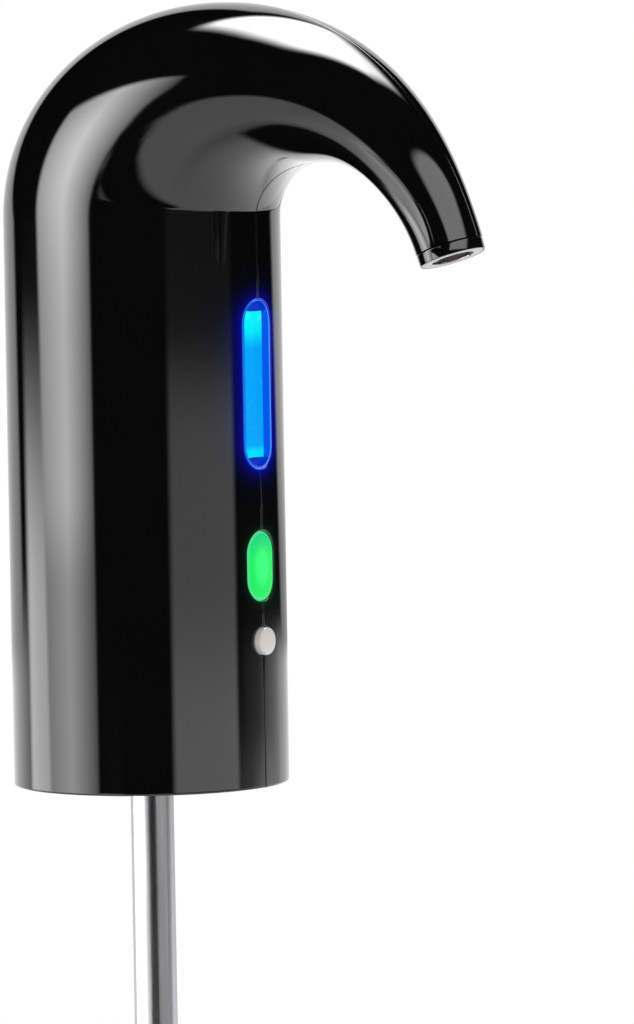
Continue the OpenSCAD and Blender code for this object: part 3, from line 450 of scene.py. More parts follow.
def metal(name, shade, rough, stretch=(1.0, 1.0, 1.0)):
    """Metal whose fine marks run along the direction with the smallest stretch."""
    play = 0.07

    def make(graph):
        marks = graph.noise(graph.place() * stretch, scale=2500.0)
        cloud = graph.noise(graph.place(), scale=80.0)
        return {
            "Base Color": graph.blend(cloud, scaled(shade, 0.9), shade),
            "Metallic": 1.0,
            "Specular Tint": (0.5, 0.5, 0.5),
            "Roughness": marks * (2 * play) + (rough - play),
            "Normal": graph.bump(marks, strength=0.25, distance=0.00001),
        }

    return finish(name, make)


def lens_finish(scene):
    """Clear acrylic, tinted blue, with a lit edge, a deep blue wall and lit ends on its back."""
    front, tints = scene.aerator_front, scene.aerator_colours
    half_w = front.window_w / 2
    front_r = scene.aerator_shell.column_r - LENS_GAP
    back_r = front_r - front.lens_t
    side_swell = 0.0006
    material = bpy.data.materials.new("Lens")
    graph = Graph(material)
    depth, across, rise = graph.split(graph.place())
    swell = (abs(across) / half_w) ** 4.0 + (across.above(0.0) / half_w) ** 4.0
    inside = -pill_distance(graph, front.window_w, front.window_h, front.window_z) - swell * side_swell
    radius = span(depth, across)
    outer = radius.ease(front_r - 0.0006, front_r - 0.0004)
    ends = (abs(rise - front.window_z) - LIT_HALF).ease(0.0001, 0.0003)
    ends = ends * radius.fall(back_r + 0.0001, back_r + 0.0003)
    rim = graph.blend((-across).ease(0.0005, 0.0025), tints.rim, tints.rim_far)
    cloud = graph.noise(graph.place(), scale=300.0)
    clear = graph.node("ShaderNodeBsdfPrincipled", None, {
        "Base Color": tints.lens,
        "Roughness": cloud * 0.02,
        "IOR": 1.49,
        "Transmission Weight": 1.0,
    })
    lit = graph.node("ShaderNodeBsdfPrincipled", None, {
        "Base Color": tints.blue_body,
        "Roughness": cloud * 0.1 + 0.2,
        "Emission Color": graph.blend(ends, graph.blend(outer, tints.wall, rim), tints.cavity),
        "Emission Strength": 1.0,
    })
    graph.mix_out(inside.fall(0.0003, 0.00045).above(ends), clear, lit)
    return material


def chamber_finish(scene):
    """Clear chamber, lit bright on its flat front and at its ends."""
    front, tints = scene.aerator_front, scene.aerator_colours
    _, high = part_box("aeration_chamber")
    low_share = 0.7

    def make(graph):
        depth, _, rise = graph.split(graph.place())
        from_top = front.window_z + LIT_HALF - rise
        from_low = rise - (front.window_z - LIT_HALF)
        ends = from_top.fall(0.003, 0.009) + from_low.fall(0.0012, 0.0032) * low_share
        face = depth.ease(high.x - 0.0004, high.x - 0.0001)
        cloud = graph.noise(graph.place(), scale=220.0, detail=3.0)
        return {
            "Base Color": tints.blue_body,
            "Roughness": cloud * 0.2 + 0.15,
            "Emission Color": graph.blend(face, tints.cavity, graph.blend(ends, tints.bar, tints.bar_end)),
            "Emission Strength": 1.25,
        }

    return finish("Lit chamber", make)


def green_finish(scene):
    """Translucent green cap, lit from behind, lighter in its middle, with a painted highlight round its
    edge.
    """
    front, tints = scene.aerator_front, scene.aerator_colours
    core_w, core_h = 0.0042, 0.0062

    def make(graph):
        place = graph.place()
        _, across, rise = graph.split(place)
        rise = rise - front.pour_z
        core = span(across / core_w, rise / core_h).fall(0.25, 1.0)
        upper = rise.ease(0.001, 0.0075)
        # Edge mask: 0 at the cap's outline, where the painted highlight colour goes, and 1 further in
        edge = (-pill_distance(graph, front.pour_w, front.pour_h, front.pour_z)).ease(0.0003, 0.0009)
        body = graph.blend(core, graph.blend(upper, tints.green, tints.green_top), tints.green_core)
        cloud = graph.noise(place, scale=260.0, detail=3.0)
        return {
            "Base Color": tints.green_body,
            "Roughness": cloud * 0.1 + 0.22,
            "Specular IOR Level": 0.25,
            "Emission Color": graph.blend(edge, tints.green_rim_highlight, body),
            "Emission Strength": 0.92,
        }

    return finish("Lit green", make)


def silver_finish(scene):
    """Satin silver paint with a fine spun grain."""
    tints = scene.aerator_colours

    def make(graph):
        grit = graph.noise(graph.place() * (1.0, 3.0, 3.0), scale=1400.0)
        return {
            "Base Color": graph.blend(grit, scaled(tints.silver, 0.85), tints.silver),
            "Metallic": 0.1,
            "Roughness": grit * 0.2 + 0.34,
            "Normal": graph.bump(grit, strength=0.3, distance=0.00003),
        }

    return finish("Satin silver", make)


def silicone(name, shade):
    """Milky clear hose."""

    def make(graph):
        cloud = graph.noise(graph.place(), scale=150.0)
        return {
            "Base Color": graph.blend(cloud, scaled(shade, 0.9), shade),
            "Roughness": cloud * 0.15 + 0.25,
            "Alpha": 0.75,
        }

    return finish(name, make)


def added(name, data):
    """A new object in the scene."""
    item = bpy.data.objects.new(name, data)
    bpy.context.scene.collection.objects.link(item)
    return item


def link(name, mesh, material, body, nodes=()):
    """Makes a piece of a mesh: it rides on a body, and stands for CAD nodes where it replaces them."""
    piece = added(name, mesh)
    mesh.materials.append(material)
    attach(piece, body)
    if nodes:
        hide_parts(*nodes)
    return piece


def mesh_of(name, verts, faces):
    """A closed, smooth-shaded mesh with its faces turned outwards."""
    mesh = bpy.data.meshes.new(name)
    mesh.from_pydata([tuple(v) for v in verts], [], faces)
    shape = bmesh.new()
    shape.from_mesh(mesh)
    bmesh.ops.remove_doubles(shape, verts=shape.verts, dist=MERGE)
    bmesh.ops.dissolve_degenerate(shape, edges=shape.edges, dist=MERGE)
    bmesh.ops.recalc_face_normals(shape, faces=shape.faces)
    if shape.calc_volume(signed=True) < 0:
        bmesh.ops.reverse_faces(shape, faces=shape.faces)
    shape.to_mesh(mesh)
    shape.free()
    mesh.shade_smooth()
    mesh.set_sharp_from_angle(angle=CREASE)
    return mesh


def strip(first, second, count, closed):
    """Faces between two rows of points, given by the index of their first points."""
    faces = []
    for k in range(count if closed else count - 1):
        ahead = (k + 1) % count
        faces.append((first + k, first + ahead, second + ahead, second + k))
    return faces


def skin(rows, closed=True):
    """Points and faces through rows of equal length."""
    count = len(rows[0])
    verts = [p for row in rows for p in row]
    faces = [f for i in range(len(rows) - 1) for f in strip(i * count, (i + 1) * count, count, closed)]
    return verts, faces


def spin(profile, count=SPIN):
    """Points and faces of a closed profile of (radius, height) turned about Z."""
    rows = []
    for k in range(count):
        turn = 2 * math.pi * k / count
        rows.append([Vector((r * math.cos(turn), r * math.sin(turn), z)) for r, z in profile])
    return skin(rows + [rows[0]])


def rounded(corners, steps=5):
    """A closed outline of (x, y, rounding) corners with its corners rounded."""
    points = []
    for i, (x, y, r) in enumerate(corners):
        here = Vector((x, y))
        if r <= 0:
            points.append((x, y))
            continue
        back = Vector(corners[i - 1][:2]) - here
        ahead = Vector(corners[(i + 1) % len(corners)][:2]) - here
        half = back.angle(ahead) / 2
        cut = min(r / math.tan(half), 0.49 * back.length, 0.49 * ahead.length)
        radius = cut * math.tan(half)
        middle = here + (back.normalized() + ahead.normalized()).normalized() * radius / math.sin(half)
        start = here + back.normalized() * cut - middle
        end = here + ahead.normalized() * cut - middle
        sweep = start.angle_signed(end)
        for k in range(steps + 1):
            turn = Matrix.Rotation(-sweep * k / steps, 2)
            spot = middle + turn @ start
            points.append((spot.x, spot.y))
    return points


def pill_points(width, height, level, grow, count=24):
    """Outline of a pill in the YZ plane, grown by grow, as (y, z)."""
    radius = max(min(width, height) / 2 + grow, TINY)
    straight = abs(height - width) / 2
    points = []
    for side in (1, -1):
        for k in range(count + 1):
            turn = math.pi * k / count + (0 if side > 0 else math.pi)
            short = radius * math.cos(turn)
            long = side * straight + radius * math.sin(turn)
            points.append((short, level + long) if height >= width else (long, level + short))
    return points


def pill_body(width, height, level, rows, side=1):
    """Closed solid through pill outlines; a row is (growth, radius of the cylinder it lies on, inset)."""
    loops = []
    for grow, radius, inset in rows:
        loops.append([
            Vector((side * (math.sqrt(radius * radius - y * y) - inset), y, z))
            for y, z in pill_points(width, height, level, grow)])
    verts, faces = skin(loops)
    count = len(loops[0])
    for first in (0, (len(loops) - 1) * count):
        last = first + count - 1
        faces += [(first + k, first + k + 1, last - 1 - k, last - k) for k in range(count // 2 - 1)]
    return verts, faces


def carve(mesh, cutters):
    """Cuts closed bodies out of a mesh and returns the new mesh."""
    block = added("block", mesh)
    tools = []
    for verts, faces in cutters:
        tool = added("tool", mesh_of("tool", verts, faces))
        cut = block.modifiers.new("cut", "BOOLEAN")
        cut.operation = "DIFFERENCE"
        cut.solver = "EXACT"
        cut.object = tool
        tools.append(tool)
    ready = block.evaluated_get(bpy.context.evaluated_depsgraph_get())
    result = bpy.data.meshes.new_from_object(ready)
    result.materials.clear()
    for thing in (block, *tools):
        old = thing.data
        bpy.data.objects.remove(thing)
        bpy.data.meshes.remove(old)
    return result


def curve(a, b, c, d, steps):
    """Points of a cubic curve after its first one."""
    points = []
    for i in range(1, steps + 1):
        u = i / steps
        v = 1 - u
        points.append(v ** 3 * a + 3 * v * v * u * b + 3 * v * u * u * c + u ** 3 * d)
    return points


def eased(value, low, high):
    """0 below low, 1 above high, and a smooth step between them."""
    share = min(max((value - low) / (high - low), 0.0), 1.0)
    return share * share * (3 - 2 * share)


def spaced(line, count, crowd=0.65):
    """Points along a line, at steps that are closer near its start."""
    marks = [0.0]
    for a, b in zip(line, line[1:]):
        marks.append(marks[-1] + (b - a).length)
    points = []
    at = 0
    for i in range(count + 1):
        part = i / count
        want = marks[-1] * (part - crowd * part * (1 - part) ** 4)
        while at < len(line) - 2 and marks[at + 1] < want:
            at += 1
        share = (want - marks[at]) / (marks[at + 1] - marks[at])
        points.append(line[at].lerp(line[at + 1], min(max(share, 0), 1)))
    return points


def neck_lines(s, count, steps=400):
    """Outer and inner line of the gooseneck in the XZ plane, at equal steps."""
    axis = Vector((math.sin(s.spout_tilt), -math.cos(s.spout_tilt)))
    square = Vector((math.cos(s.spout_tilt), math.sin(s.spout_tilt)))
    seat = Vector((s.spout_reach, s.column_h - s.spout_drop))

    def line(reach, rise, run, level, pull, side):
        arc = []
        for i in range(steps + 1):
            turn = math.pi / 2 * i / steps
            arc.append(Vector((reach - run * math.cos(turn), s.column_h + rise * math.sin(turn))))
        end = seat + side * s.spout_r * square
        bend = curve(arc[-1], arc[-1] + Vector((level, 0)), end - pull * axis, end, steps)
        return spaced(arc + bend, count)

    outer = line(s.crown_reach, s.crown_rise, s.crown_reach + s.column_r, s.crown_pull, s.nose_pull, 1)
    inner = line(s.throat_reach, s.throat_rise, s.throat_reach - s.column_r, s.throat_pull, s.chin_pull, -1)
    return outer, inner


def shell_rows(s, neck_steps=150, column_steps=12, rim_steps=8):
    """Sections of the shells from the rim to the spout: (centre, way to the back, radius, inner radius)."""
    bore = s.column_r - s.wall
    back = Vector((-1, 0))
    rows = []
    for i in range(rim_steps + 1):
        turn = math.pi / 2 * i / rim_steps
        radius = s.column_r - s.rim_round * (1 - math.sin(turn))
        rows.append((Vector((0, s.rim_round * (1 - math.cos(turn)))), back, radius, bore))
    for i in range(1, column_steps):
        rise = s.rim_round + (s.column_h - s.rim_round) * i / column_steps
        rows.append((Vector((0, rise)), back, s.column_r, bore))
    rows.append((Vector((0, s.column_h - s.seam_gap)), back, s.column_r, bore))
    outer, inner = neck_lines(s, neck_steps)
    for i, (o, n) in enumerate(zip(outer, inner)):
        wall = s.wall + (s.spout_wall - s.wall) * i / neck_steps
        radius = (o - n).length / 2
        rows.append(((o + n) / 2, (o - n).normalized(), radius, radius - wall))
    return rows


def half_section(radius, inner_r, gap, edge, arc_steps, edge_steps):
    """Outer points with their way round, and inner points, of half a ring in its own plane."""
    lift = gap / 2 + edge
    reach = math.sqrt((radius - edge) ** 2 - lift ** 2)
    start = math.atan2(lift, reach)
    outer = []
    for i in range(edge_steps):
        turn = -math.pi / 2 + (start + math.pi / 2) * i / edge_steps
        outer.append((reach + edge * math.cos(turn), lift + edge * math.sin(turn), turn))
    for i in range(arc_steps + 1):
        turn = start + (math.pi - 2 * start) * i / arc_steps
        outer.append((radius * math.cos(turn), radius * math.sin(turn), turn))
    for p, q, turn in reversed(outer[:edge_steps]):
        outer.append((-p, q, math.pi - turn))
    low = math.asin(gap / 2 / inner_r)
    last = len(outer) - 1
    inner = []
    for i in range(last + 1):
        turn = low + (math.pi - 2 * low) * i / last
        inner.append((inner_r * math.cos(turn), inner_r * math.sin(turn)))
    return outer, inner


def half_shell(s, side, arc_steps=110, edge_steps=4):
    """Points and faces of one half shell, and the exact normals of its outer points."""
    sections = shell_rows(s)
    outers, inners, ways = [], [], []
    for centre, back, radius, inner_r in sections:
        def spot(p, q):
            return Vector((centre.x + p * back.x, side * q, centre.y + p * back.y))
        outer, inner = half_section(radius, inner_r, s.seam_gap, s.seam_round, arc_steps, edge_steps)
        outers.append([spot(p, q) for p, q, _ in outer])
        inners.append([spot(p, q) for p, q in inner])
        ways.append([
            Vector((-math.sin(t) * back.x, side * math.cos(t), -math.sin(t) * back.y)) for _, _, t in outer])
    count = len(outers[0])
    rows = len(sections)
    normals = {}
    for i in range(rows):
        for k in range(count):
            run = outers[min(i + 1, rows - 1)][k] - outers[max(i - 1, 0)][k]
            normals[key(outers[i][k])] = held(s, outers[i][k], side * ways[i][k].cross(run).normalized())
    verts, faces = skin(outers, closed=False)
    more, inner_faces = skin(inners, closed=False)
    shift = len(verts)
    verts += more
    faces += [tuple(shift + v for v in f) for f in inner_faces]
    for i in (0, rows - 1):
        faces += strip(i * count, shift + i * count, count, closed=False)
    for k in (0, count - 1):
        for i in range(rows - 1):
            a, b = i * count + k, (i + 1) * count + k
            faces.append((a, b, shift + b, shift + a))
    return verts, faces, normals


def held(s, spot, normal):
    """Normal of the outer skin, with the column's straight wall held up to a slanting line above its top."""
    back_x, front_x, steepest = -0.004, 0.012, 0.5
    line = (s.bend_lift + s.bend_slope * (s.column_r - spot.x)) * eased(spot.x, back_x, front_x)
    share = eased(spot.z - s.column_h - line, -s.bend_soft, s.bend_soft)
    flat = Vector((normal.x, normal.y, 0))
    if spot.z < s.column_h or share == 1 or flat.length < steepest:
        return normal
    return flat.normalized().lerp(normal, share).normalized()


def key(point):
    """A point as whole tenths of a micrometre, to look it up by."""
    return tuple(round(c * 1e7) for c in point)


def exact_normals(mesh, s, known):
    """Gives the outer skin its exact normals, also round the openings that were cut into it."""
    mesh.shade_smooth()
    mesh.set_sharp_from_angle(angle=CREASE)
    normals = [Vector(n.vector) for n in mesh.corner_normals]
    near = 5e-6
    found = {}
    for v in mesh.vertices:
        normal = known.get(key(v.co))
        round_r = math.hypot(v.co.x, v.co.y)
        if normal is None and abs(round_r - s.column_r) < near and s.rim_round < v.co.z < s.column_h:
            normal = Vector((v.co.x / round_r, v.co.y / round_r, 0))
        if normal is not None:
            found[v.index] = normal
    for face in mesh.polygons:
        if all(v in found for v in face.vertices):
            for corner in face.loop_indices:
                normal = found[mesh.loops[corner].vertex_index]
                normals[corner] = normal if normal.dot(face.normal) > 0 else -normal
    mesh.normals_split_custom_set(normals)


def opening(s, f, width, height, level, side=1):
    """Body that cuts a pill-shaped opening with rounded edges through the column's wall."""
    edge = f.hole_round
    flare, lift = 3.2 * edge, 0.9 * edge
    steps, sweep = 6, math.radians(70)
    rows = [(flare, s.column_r, -s.wall), (flare, s.column_r, -lift)]
    for i in range(steps, -1, -1):
        turn = sweep * i / steps
        rows.append((edge * (1 - math.cos(turn)), s.column_r, edge * (1 - math.sin(turn))))
    rows.append((0.0, s.column_r, 2 * s.wall))
    return pill_body(width, height, level, rows, side)


def to_spout(s):
    """Matrix of the spout's frame: +Z runs out of the mouth, from the seat."""
    place = Matrix.Translation((s.spout_reach, 0, s.column_h - s.spout_drop))
    return place @ Matrix.Rotation(math.pi - s.spout_tilt, 4, "Y")


def plate_rows(width, front_r, edge, rings=8, steps=5):
    """Rows of a pill plate's front, from its middle line to the end of its rounded edge."""
    middle = TINY - width / 2
    rows = [(middle + (-edge - middle) * i / rings, front_r, 0.0) for i in range(rings + 1)]
    for i in range(1, steps + 1):
        turn = math.pi / 2 * i / steps
        rows.append((-edge * (1 - math.sin(turn)), front_r, edge * (1 - math.cos(turn))))
    return rows


def turned(name, profile, place, count=SPIN):
    """Mesh of a rounded profile that is turned about Z and then set in its place."""
    verts, faces = spin(rounded(profile), count)
    return mesh_of(name, [place @ v for v in verts], faces)


def facing_out(level):
    """Matrix of a front button's frame: +Z runs out of the column at a level."""
    return Matrix.Translation((0, 0, level)) @ Matrix.Rotation(math.pi / 2, 4, "Y")


class AERATOR_OT_shells(bpy.types.Operator):
    """Builds the two half shells with their seam and openings"""

    bl_idname = "aerator.shells"
    bl_label = "Half shells"

    def execute(self, context):
        s, f = context.scene.aerator_shell, context.scene.aerator_front
        finish_black = piano_black(context.scene)
        for name, side in (("left_shell", -1), ("right_shell", 1)):
            verts, faces, known = half_shell(s, side)
            mesh = carve(mesh_of(name + "_skin", verts, faces), [
                opening(s, f, f.window_w, f.window_h, f.window_z),
                opening(s, f, f.pour_w, f.pour_h, f.pour_z),
                opening(s, f, f.power_d, f.power_d, f.power_z),
                opening(s, f, f.charge_w, f.charge_h, f.charge_z, -1),
            ])
            exact_normals(mesh, s, known)
            link(name + "_skin", mesh, finish_black, "housing", [name])
        return {"FINISHED"}


class AERATOR_OT_spout(bpy.types.Operator):
    """Builds the spout's collar and its bright ring"""

    bl_idname = "aerator.spout"
    bl_label = "Spout tip"

    def execute(self, context):
        s, e = context.scene.aerator_shell, context.scene.aerator_ends
        groove, gap, hose_stop, play = 0.00015, 0.0001, -0.002, 0.0003
        soft, fine = 0.0003, 0.0002
        face, bed = e.tip_len, e.tip_len - e.ring_t
        ring_r = s.spout_r - e.ring_edge
        mouth_r = ring_r - gap - e.ring_w
        inner_r = s.spout_r - s.spout_wall - play
        collar = [
            (inner_r, -e.tip_spigot, soft), (inner_r, groove, 0), (s.spout_r - gap, groove, soft),
            (s.spout_r - 2 * gap, face, fine), (ring_r, face, fine / 2), (ring_r, bed, 0),
            (mouth_r, bed, fine), (e.outlet_r, bed - e.flare_h, soft), (e.outlet_r, hose_stop, 0),
            (e.hose_seat_r, hose_stop, 0), (e.hose_seat_r, -e.tip_spigot, fine)]
        ring = [(mouth_r, bed, 0), (ring_r - gap, bed, 0), (ring_r - gap, face, fine), (mouth_r, face, fine)]
        place = to_spout(s)
        mesh = turned("spout_collar", collar, place)
        link("spout_collar", mesh, piano_black(context.scene), "housing", ["spout_tip"])
        mesh = turned("spout_bright_ring", ring, place)
        bright = metal("Plated ring", tuple(context.scene.aerator_colours.plated), 0.14)
        link("spout_bright_ring", mesh, bright, "housing", ["spout_ring"])
        return {"FINISHED"}


class AERATOR_OT_window(bpy.types.Operator):
    """Builds the window's lens and lights the chamber behind it"""

    bl_idname = "aerator.window"
    bl_label = "Window"

    def execute(self, context):
        scene = context.scene
        s, f = scene.aerator_shell, scene.aerator_front
        edge, hole = 0.0003, 0.0007
        width, height = f.window_w - 2 * LENS_GAP, f.window_h - 2 * LENS_GAP
        front_r = s.column_r - LENS_GAP
        back_r = front_r - f.lens_t
        lip_w = f.lens_lip + LENS_GAP
        lip_r = s.column_r - s.wall - 2 * LENS_GAP
        lip_in_r = lip_r - f.lens_lip
        rows = plate_rows(width, front_r, edge)
        rows += [(0.0, lip_r, 0.0), (lip_w, lip_r, 0.0), (lip_w, lip_in_r, 0.0)]
        rows += [(-hole, lip_in_r, 0.0), (-hole, back_r, 0.0), (TINY - width / 2, back_r, 0.0)]
        verts, faces = pill_body(width, height, f.window_z, rows)
        mesh = mesh_of("window_clear_lens", verts, faces)
        link("window_clear_lens", mesh, lens_finish(scene), "housing", ["window_lens"])
        paint("aeration_chamber", chamber_finish(scene))
        return {"FINISHED"}


class AERATOR_OT_buttons(bpy.types.Operator):
    """Builds the lit pour button and the silver power button"""

    bl_idname = "aerator.buttons"
    bl_label = "Buttons"

    def execute(self, context):
        self.pour(context.scene)
        self.power(context.scene)
        return {"FINISHED"}

    def pour(self, scene):
        """Lit pill with a lip behind the wall and a stem to its plunger."""
        s, f = scene.aerator_shell, scene.aerator_front
        edge, stem_r, stem_gap, stem_round = 0.0007, 0.0022, 0.00005, 0.0003
        low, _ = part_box("pour_button")
        lip_out = s.column_r - s.wall - LIP_PLAY
        lip_in = lip_out - LIP_T
        flange = f.button_lip + f.button_gap
        width, height = f.pour_w - 2 * f.button_gap, f.pour_h - 2 * f.button_gap
        rows = plate_rows(width, s.column_r, edge)
        rows += [(0.0, lip_out, 0.0), (flange, lip_out, 0.0), (flange, lip_in, 0.0)]
        rows.append((TINY - width / 2, lip_in, 0.0))
        verts, faces = pill_body(width, height, f.pour_z, rows)
        top = lip_in - stem_gap
        stem = [(0.0, low.x, 0), (stem_r, low.x, stem_round), (stem_r, top, 0), (0.0, top, 0)]
        more, stem_faces = spin(rounded(stem), 48)
        faces += [tuple(len(verts) + v for v in face) for face in stem_faces]
        verts += [facing_out(f.pour_z) @ v for v in more]
        mesh = mesh_of("pour_button_cap", verts, faces)
        link("pour_button_cap", mesh, green_finish(scene), "pour_key", ["pour_button"])

    def power(self, scene):
        """Round silver cap with a rim behind the wall and a stem to its plunger."""
        s, f = scene.aerator_shell, scene.aerator_front
        stem_r, shoulder, crown = 0.0016, 0.00025, 0.00005
        soft, fine, cap_round, crown_round = 0.0003, 0.0002, 0.0006, 0.003
        low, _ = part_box("power_button")
        cap_r = f.power_d / 2 - f.button_gap
        rim_r = f.power_d / 2 + f.button_lip
        rim_top = math.sqrt((s.column_r - s.wall) ** 2 - rim_r ** 2) - LIP_PLAY
        rim_low = rim_top - LIP_T
        top = s.column_r + f.power_proud
        profile = [
            (0.0, low.x, 0), (stem_r, low.x, fine), (stem_r, rim_low, fine), (rim_r, rim_low, fine),
            (rim_r, rim_top, soft), (cap_r, rim_top, fine / 2), (cap_r, top - shoulder, cap_round),
            (cap_r / 2, top - crown, crown_round), (0.0, top, 0)]
        mesh = turned("power_button_cap", profile, facing_out(f.power_z), 72)
        link("power_button_cap", mesh, silver_finish(scene), "power_key", ["power_button"])


class AERATOR_OT_plug(bpy.types.Operator):
    """Builds the soft neck plug"""

    bl_idname = "aerator.plug"
    bl_label = "Neck plug"

    def execute(self, context):
        e = context.scene.aerator_ends
        play, nose, step = 0.0003, 0.001, 0.0005
        ribs, rib_foot, rib_tip, rib_out = (0.0022, 0.0054), 0.0009, 0.0003, 0.0006
        large, soft, fine = 0.0006, 0.0003, 0.0002
        duct_over, duct_top = 0.002, 0.03
        low = -e.plug_drop
        straight = low + e.plug_taper
        grip_top = straight + e.plug_grip
        lip_low = e.socket_depth - e.lip_t
        neck_r = e.plug_r - play
        lip_r = e.socket_r - play
        bed = e.socket_depth - e.spigot_drop
        profile = [
            (e.plug_bore, low, soft), (e.plug_r - nose, low, large), (e.plug_r, straight, nose),
            (e.plug_r, grip_top, fine), (neck_r, grip_top + step, fine)]
        for rise in ribs:
            rib = grip_top + rise
            profile += [
                (neck_r, rib - rib_foot, soft), (neck_r + rib_out, rib - rib_tip, soft),
                (neck_r + rib_out, rib + rib_tip, soft), (neck_r, rib + rib_foot, fine)]
        profile += [
            (neck_r, lip_low, fine), (lip_r, lip_low, large), (lip_r, e.socket_depth, large),
            (e.spigot_r, e.socket_depth, 0), (e.spigot_r, bed, 0), (e.plug_bore, bed, 0)]
        verts, faces = spin(rounded(profile))
        duct_low = low - duct_over
        duct = [(0.0, duct_low), (e.duct_r, duct_low), (e.duct_r, duct_top), (0.0, duct_top)]
        duct_verts, duct_faces = spin(duct, 32)
        place = Matrix.Translation((-e.duct_x, 0, 0))
        mesh = carve(mesh_of("plug", verts, faces), [([place @ v for v in duct_verts], duct_faces)])
        mesh.name = "neck_plug_soft"
        mesh.set_sharp_from_angle(angle=CREASE)
        soft = moulded("Plug silicone", tuple(context.scene.aerator_colours.rubber), 0.5, 700.0)
        link("neck_plug_soft", mesh, soft, "housing", ["neck_plug"])
        return {"FINISHED"}


def paint(node, material):
    """Gives a CAD node's slots a finish."""
    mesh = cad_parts[node].data
    if not mesh.materials:
        mesh.materials.append(material)
    for i in range(len(mesh.materials)):
        mesh.materials[i] = material


class AERATOR_OT_fittings(bpy.types.Operator):
    """Finishes the pieces that keep their CAD shape"""

    bl_idname = "aerator.fittings"
    bl_label = "Fittings"

    def execute(self, context):
        tints = context.scene.aerator_colours
        along = (1.0, 1.0, 0.02)
        steel = metal("Drawn steel", tuple(tints.steel), 0.24, along)
        zinc = metal("Zinc plate", (0.5, 0.5, 0.52), 0.35)
        can = metal("Plated can", (0.6, 0.6, 0.61), 0.3, along)
        white = moulded("Natural plastic", (0.8, 0.8, 0.78), 0.45)
        black = moulded("Switch plastic", (0.025, 0.025, 0.026), 0.5)
        rubber = moulded("Black rubber", (0.02, 0.02, 0.021), 0.6)
        board = moulded("Board mask", (0.02, 0.14, 0.045), 0.35, 1600.0)
        hose = silicone("Clear hose", (0.8, 0.82, 0.84))
        finishes = {
            moulded("Base plastic", tuple(tints.base), 0.48): ["base_cover"],
            moulded("Foot silicone", tuple(tints.rubber), 0.5, 700.0): ["intake_foot"],
            moulded("Chassis plastic", (0.66, 0.66, 0.63), 0.5): ["chassis"],
            moulded("Nylon", (0.78, 0.78, 0.72), 0.45): ["middle_bush", "lower_bush"],
            moulded("Blue lamp", (0.2, 0.4, 0.95), 0.3): ["blue_leds"],
            moulded("Green lamp", (0.2, 0.9, 0.4), 0.3): ["green_leds"],
            moulded("Cell wrap", (0.06, 0.18, 0.45), 0.35): ["battery"],
            metal("Nickel plate", (0.72, 0.72, 0.73), 0.22): ["charge_socket"],
            steel: ["tube_upper", "tube_middle", "tube_lower"],
            zinc: ["base_screws", "chassis_screws", "board_screws"],
            can: ["pump_motor", "pump_crank"],
            white: ["chamber_inlet", "chamber_outlet", "manifold", "check_valve", "pump_frame",
                    "pump_rocker", "pump_head"],
            black: ["pour_plunger", "power_plunger", "pour_switch", "power_switch"],
            rubber: ["motor_sleeve", "pump_diaphragm"],
            board: ["main_board", "led_board", "charge_board"],
            hose: ["riser_hose", "outlet_hose", "air_hose_upper", "air_hose_lower"],
        }
        for material, nodes in finishes.items():
            for node in nodes:
                paint(node, material)
        return {"FINISHED"}


# Places on the light cards are in millimetres, and directions in the studio in degrees


def left_light(u, v):
    """Tall softbox on the left: brightest along its middle, dimmer below, with a rising upper edge."""
    lean, waist, widening = 0.06, 100.0, 9.0
    top, top_slope = 213.0, 0.45
    ridge, left_fall, right_fall, peak = 32.0, 0.0115, 0.0156, 8.7
    left = u + (v - waist) * lean
    right = u - v.ease(170.0, 225.0) * widening
    cover = left.ease(-20.0, -10.0) * right.fall(78.0, 87.0) * (u * top_slope + top - v).ease(-8.0, 8.0)
    across = 1.0 - u.short(ridge) * left_fall - u.past(ridge) * right_fall
    up = v.stairs(0.47, (38.0, 66.0, 0.27), (100.0, 150.0, 0.26), (165.0, 215.0, -0.2))
    return cover, across * up * peak


def fill_light(u, v):
    """Round-topped board in front of the neck, brighter towards its lower right, and black on its left."""
    middle, half_w, shoulder, dome_h = 51.0, 32.0, 140.0, 25.0
    start, slope = 42.0, 0.9
    sill, right_rise, left_drop = 134.5, 0.04, 0.1
    lit = span((u - middle) / half_w, v.past(shoulder) / dome_h).fall(0.87, 1.15)
    lit = lit * u.ease(16.6, 19.6).above(v.ease(139.0, 146.0)) * v.ease(133.9, 134.6)
    along = (u - start) + (shoulder - v) * slope
    level = along.stairs(1.0, (8.0, 30.0, 0.45), (28.0, 44.0, 1.6))
    foot = (v - sill - u.past(50.0) * right_rise + u.short(30.0) * left_drop).ease(-0.5, 1.5)
    black = u.between(5.0, 45.0, 1.5) * v.fall(146.0, 152.0)
    return lit.above(black) * foot, lit * level


def apron_light(u, v):
    """Board at the fill board's foot: brighter under the spout, dark before the column and on its left."""
    slant_u, slant_v = 0.9, 0.436
    step, core_slope, core_bend, halo_dim, near_gain = 8.0, 0.75, 0.55, 0.36, 0.6
    across = u * slant_u + v * slant_v
    left = u + v - v.past(55.0) * 0.2 - v.past(70.0) * 0.5
    near = v.short(34.0)
    side = across + v.ease(58.0, 72.0) * step - u.short(10.0) * 0.6
    cover = (left - near * 1.2).ease(22.0, 28.0) * side.fall(66.0, 70.0) * v.ease(8.0, 12.0)
    cover = cover * u.fall(40.0, 52.0)
    level = across.stairs(1.03, (36.0, 54.0, 0.5), (52.0, 64.0, 1.35)) + v.fall(16.0, 34.0) * near_gain
    core = (u - v.short(46.0) * core_slope).ease(14.5, 18.5)
    core = core * (v + u.past(26.0) * core_bend).fall(57.0, 63.5) * v.ease(18.0, 24.0)
    halo = u.ease(8.0, 16.0) * u.fall(18.0, 28.0) * v.fall(60.0, 72.0) * v.ease(34.0, 44.0)
    lit = (left + near * 0.6 + v.fall(42.0, 55.0) * 1.2).ease(43.3, 46.7)
    return cover, level * (1.0 - core) * (1.0 - halo * halo_dim) * lit


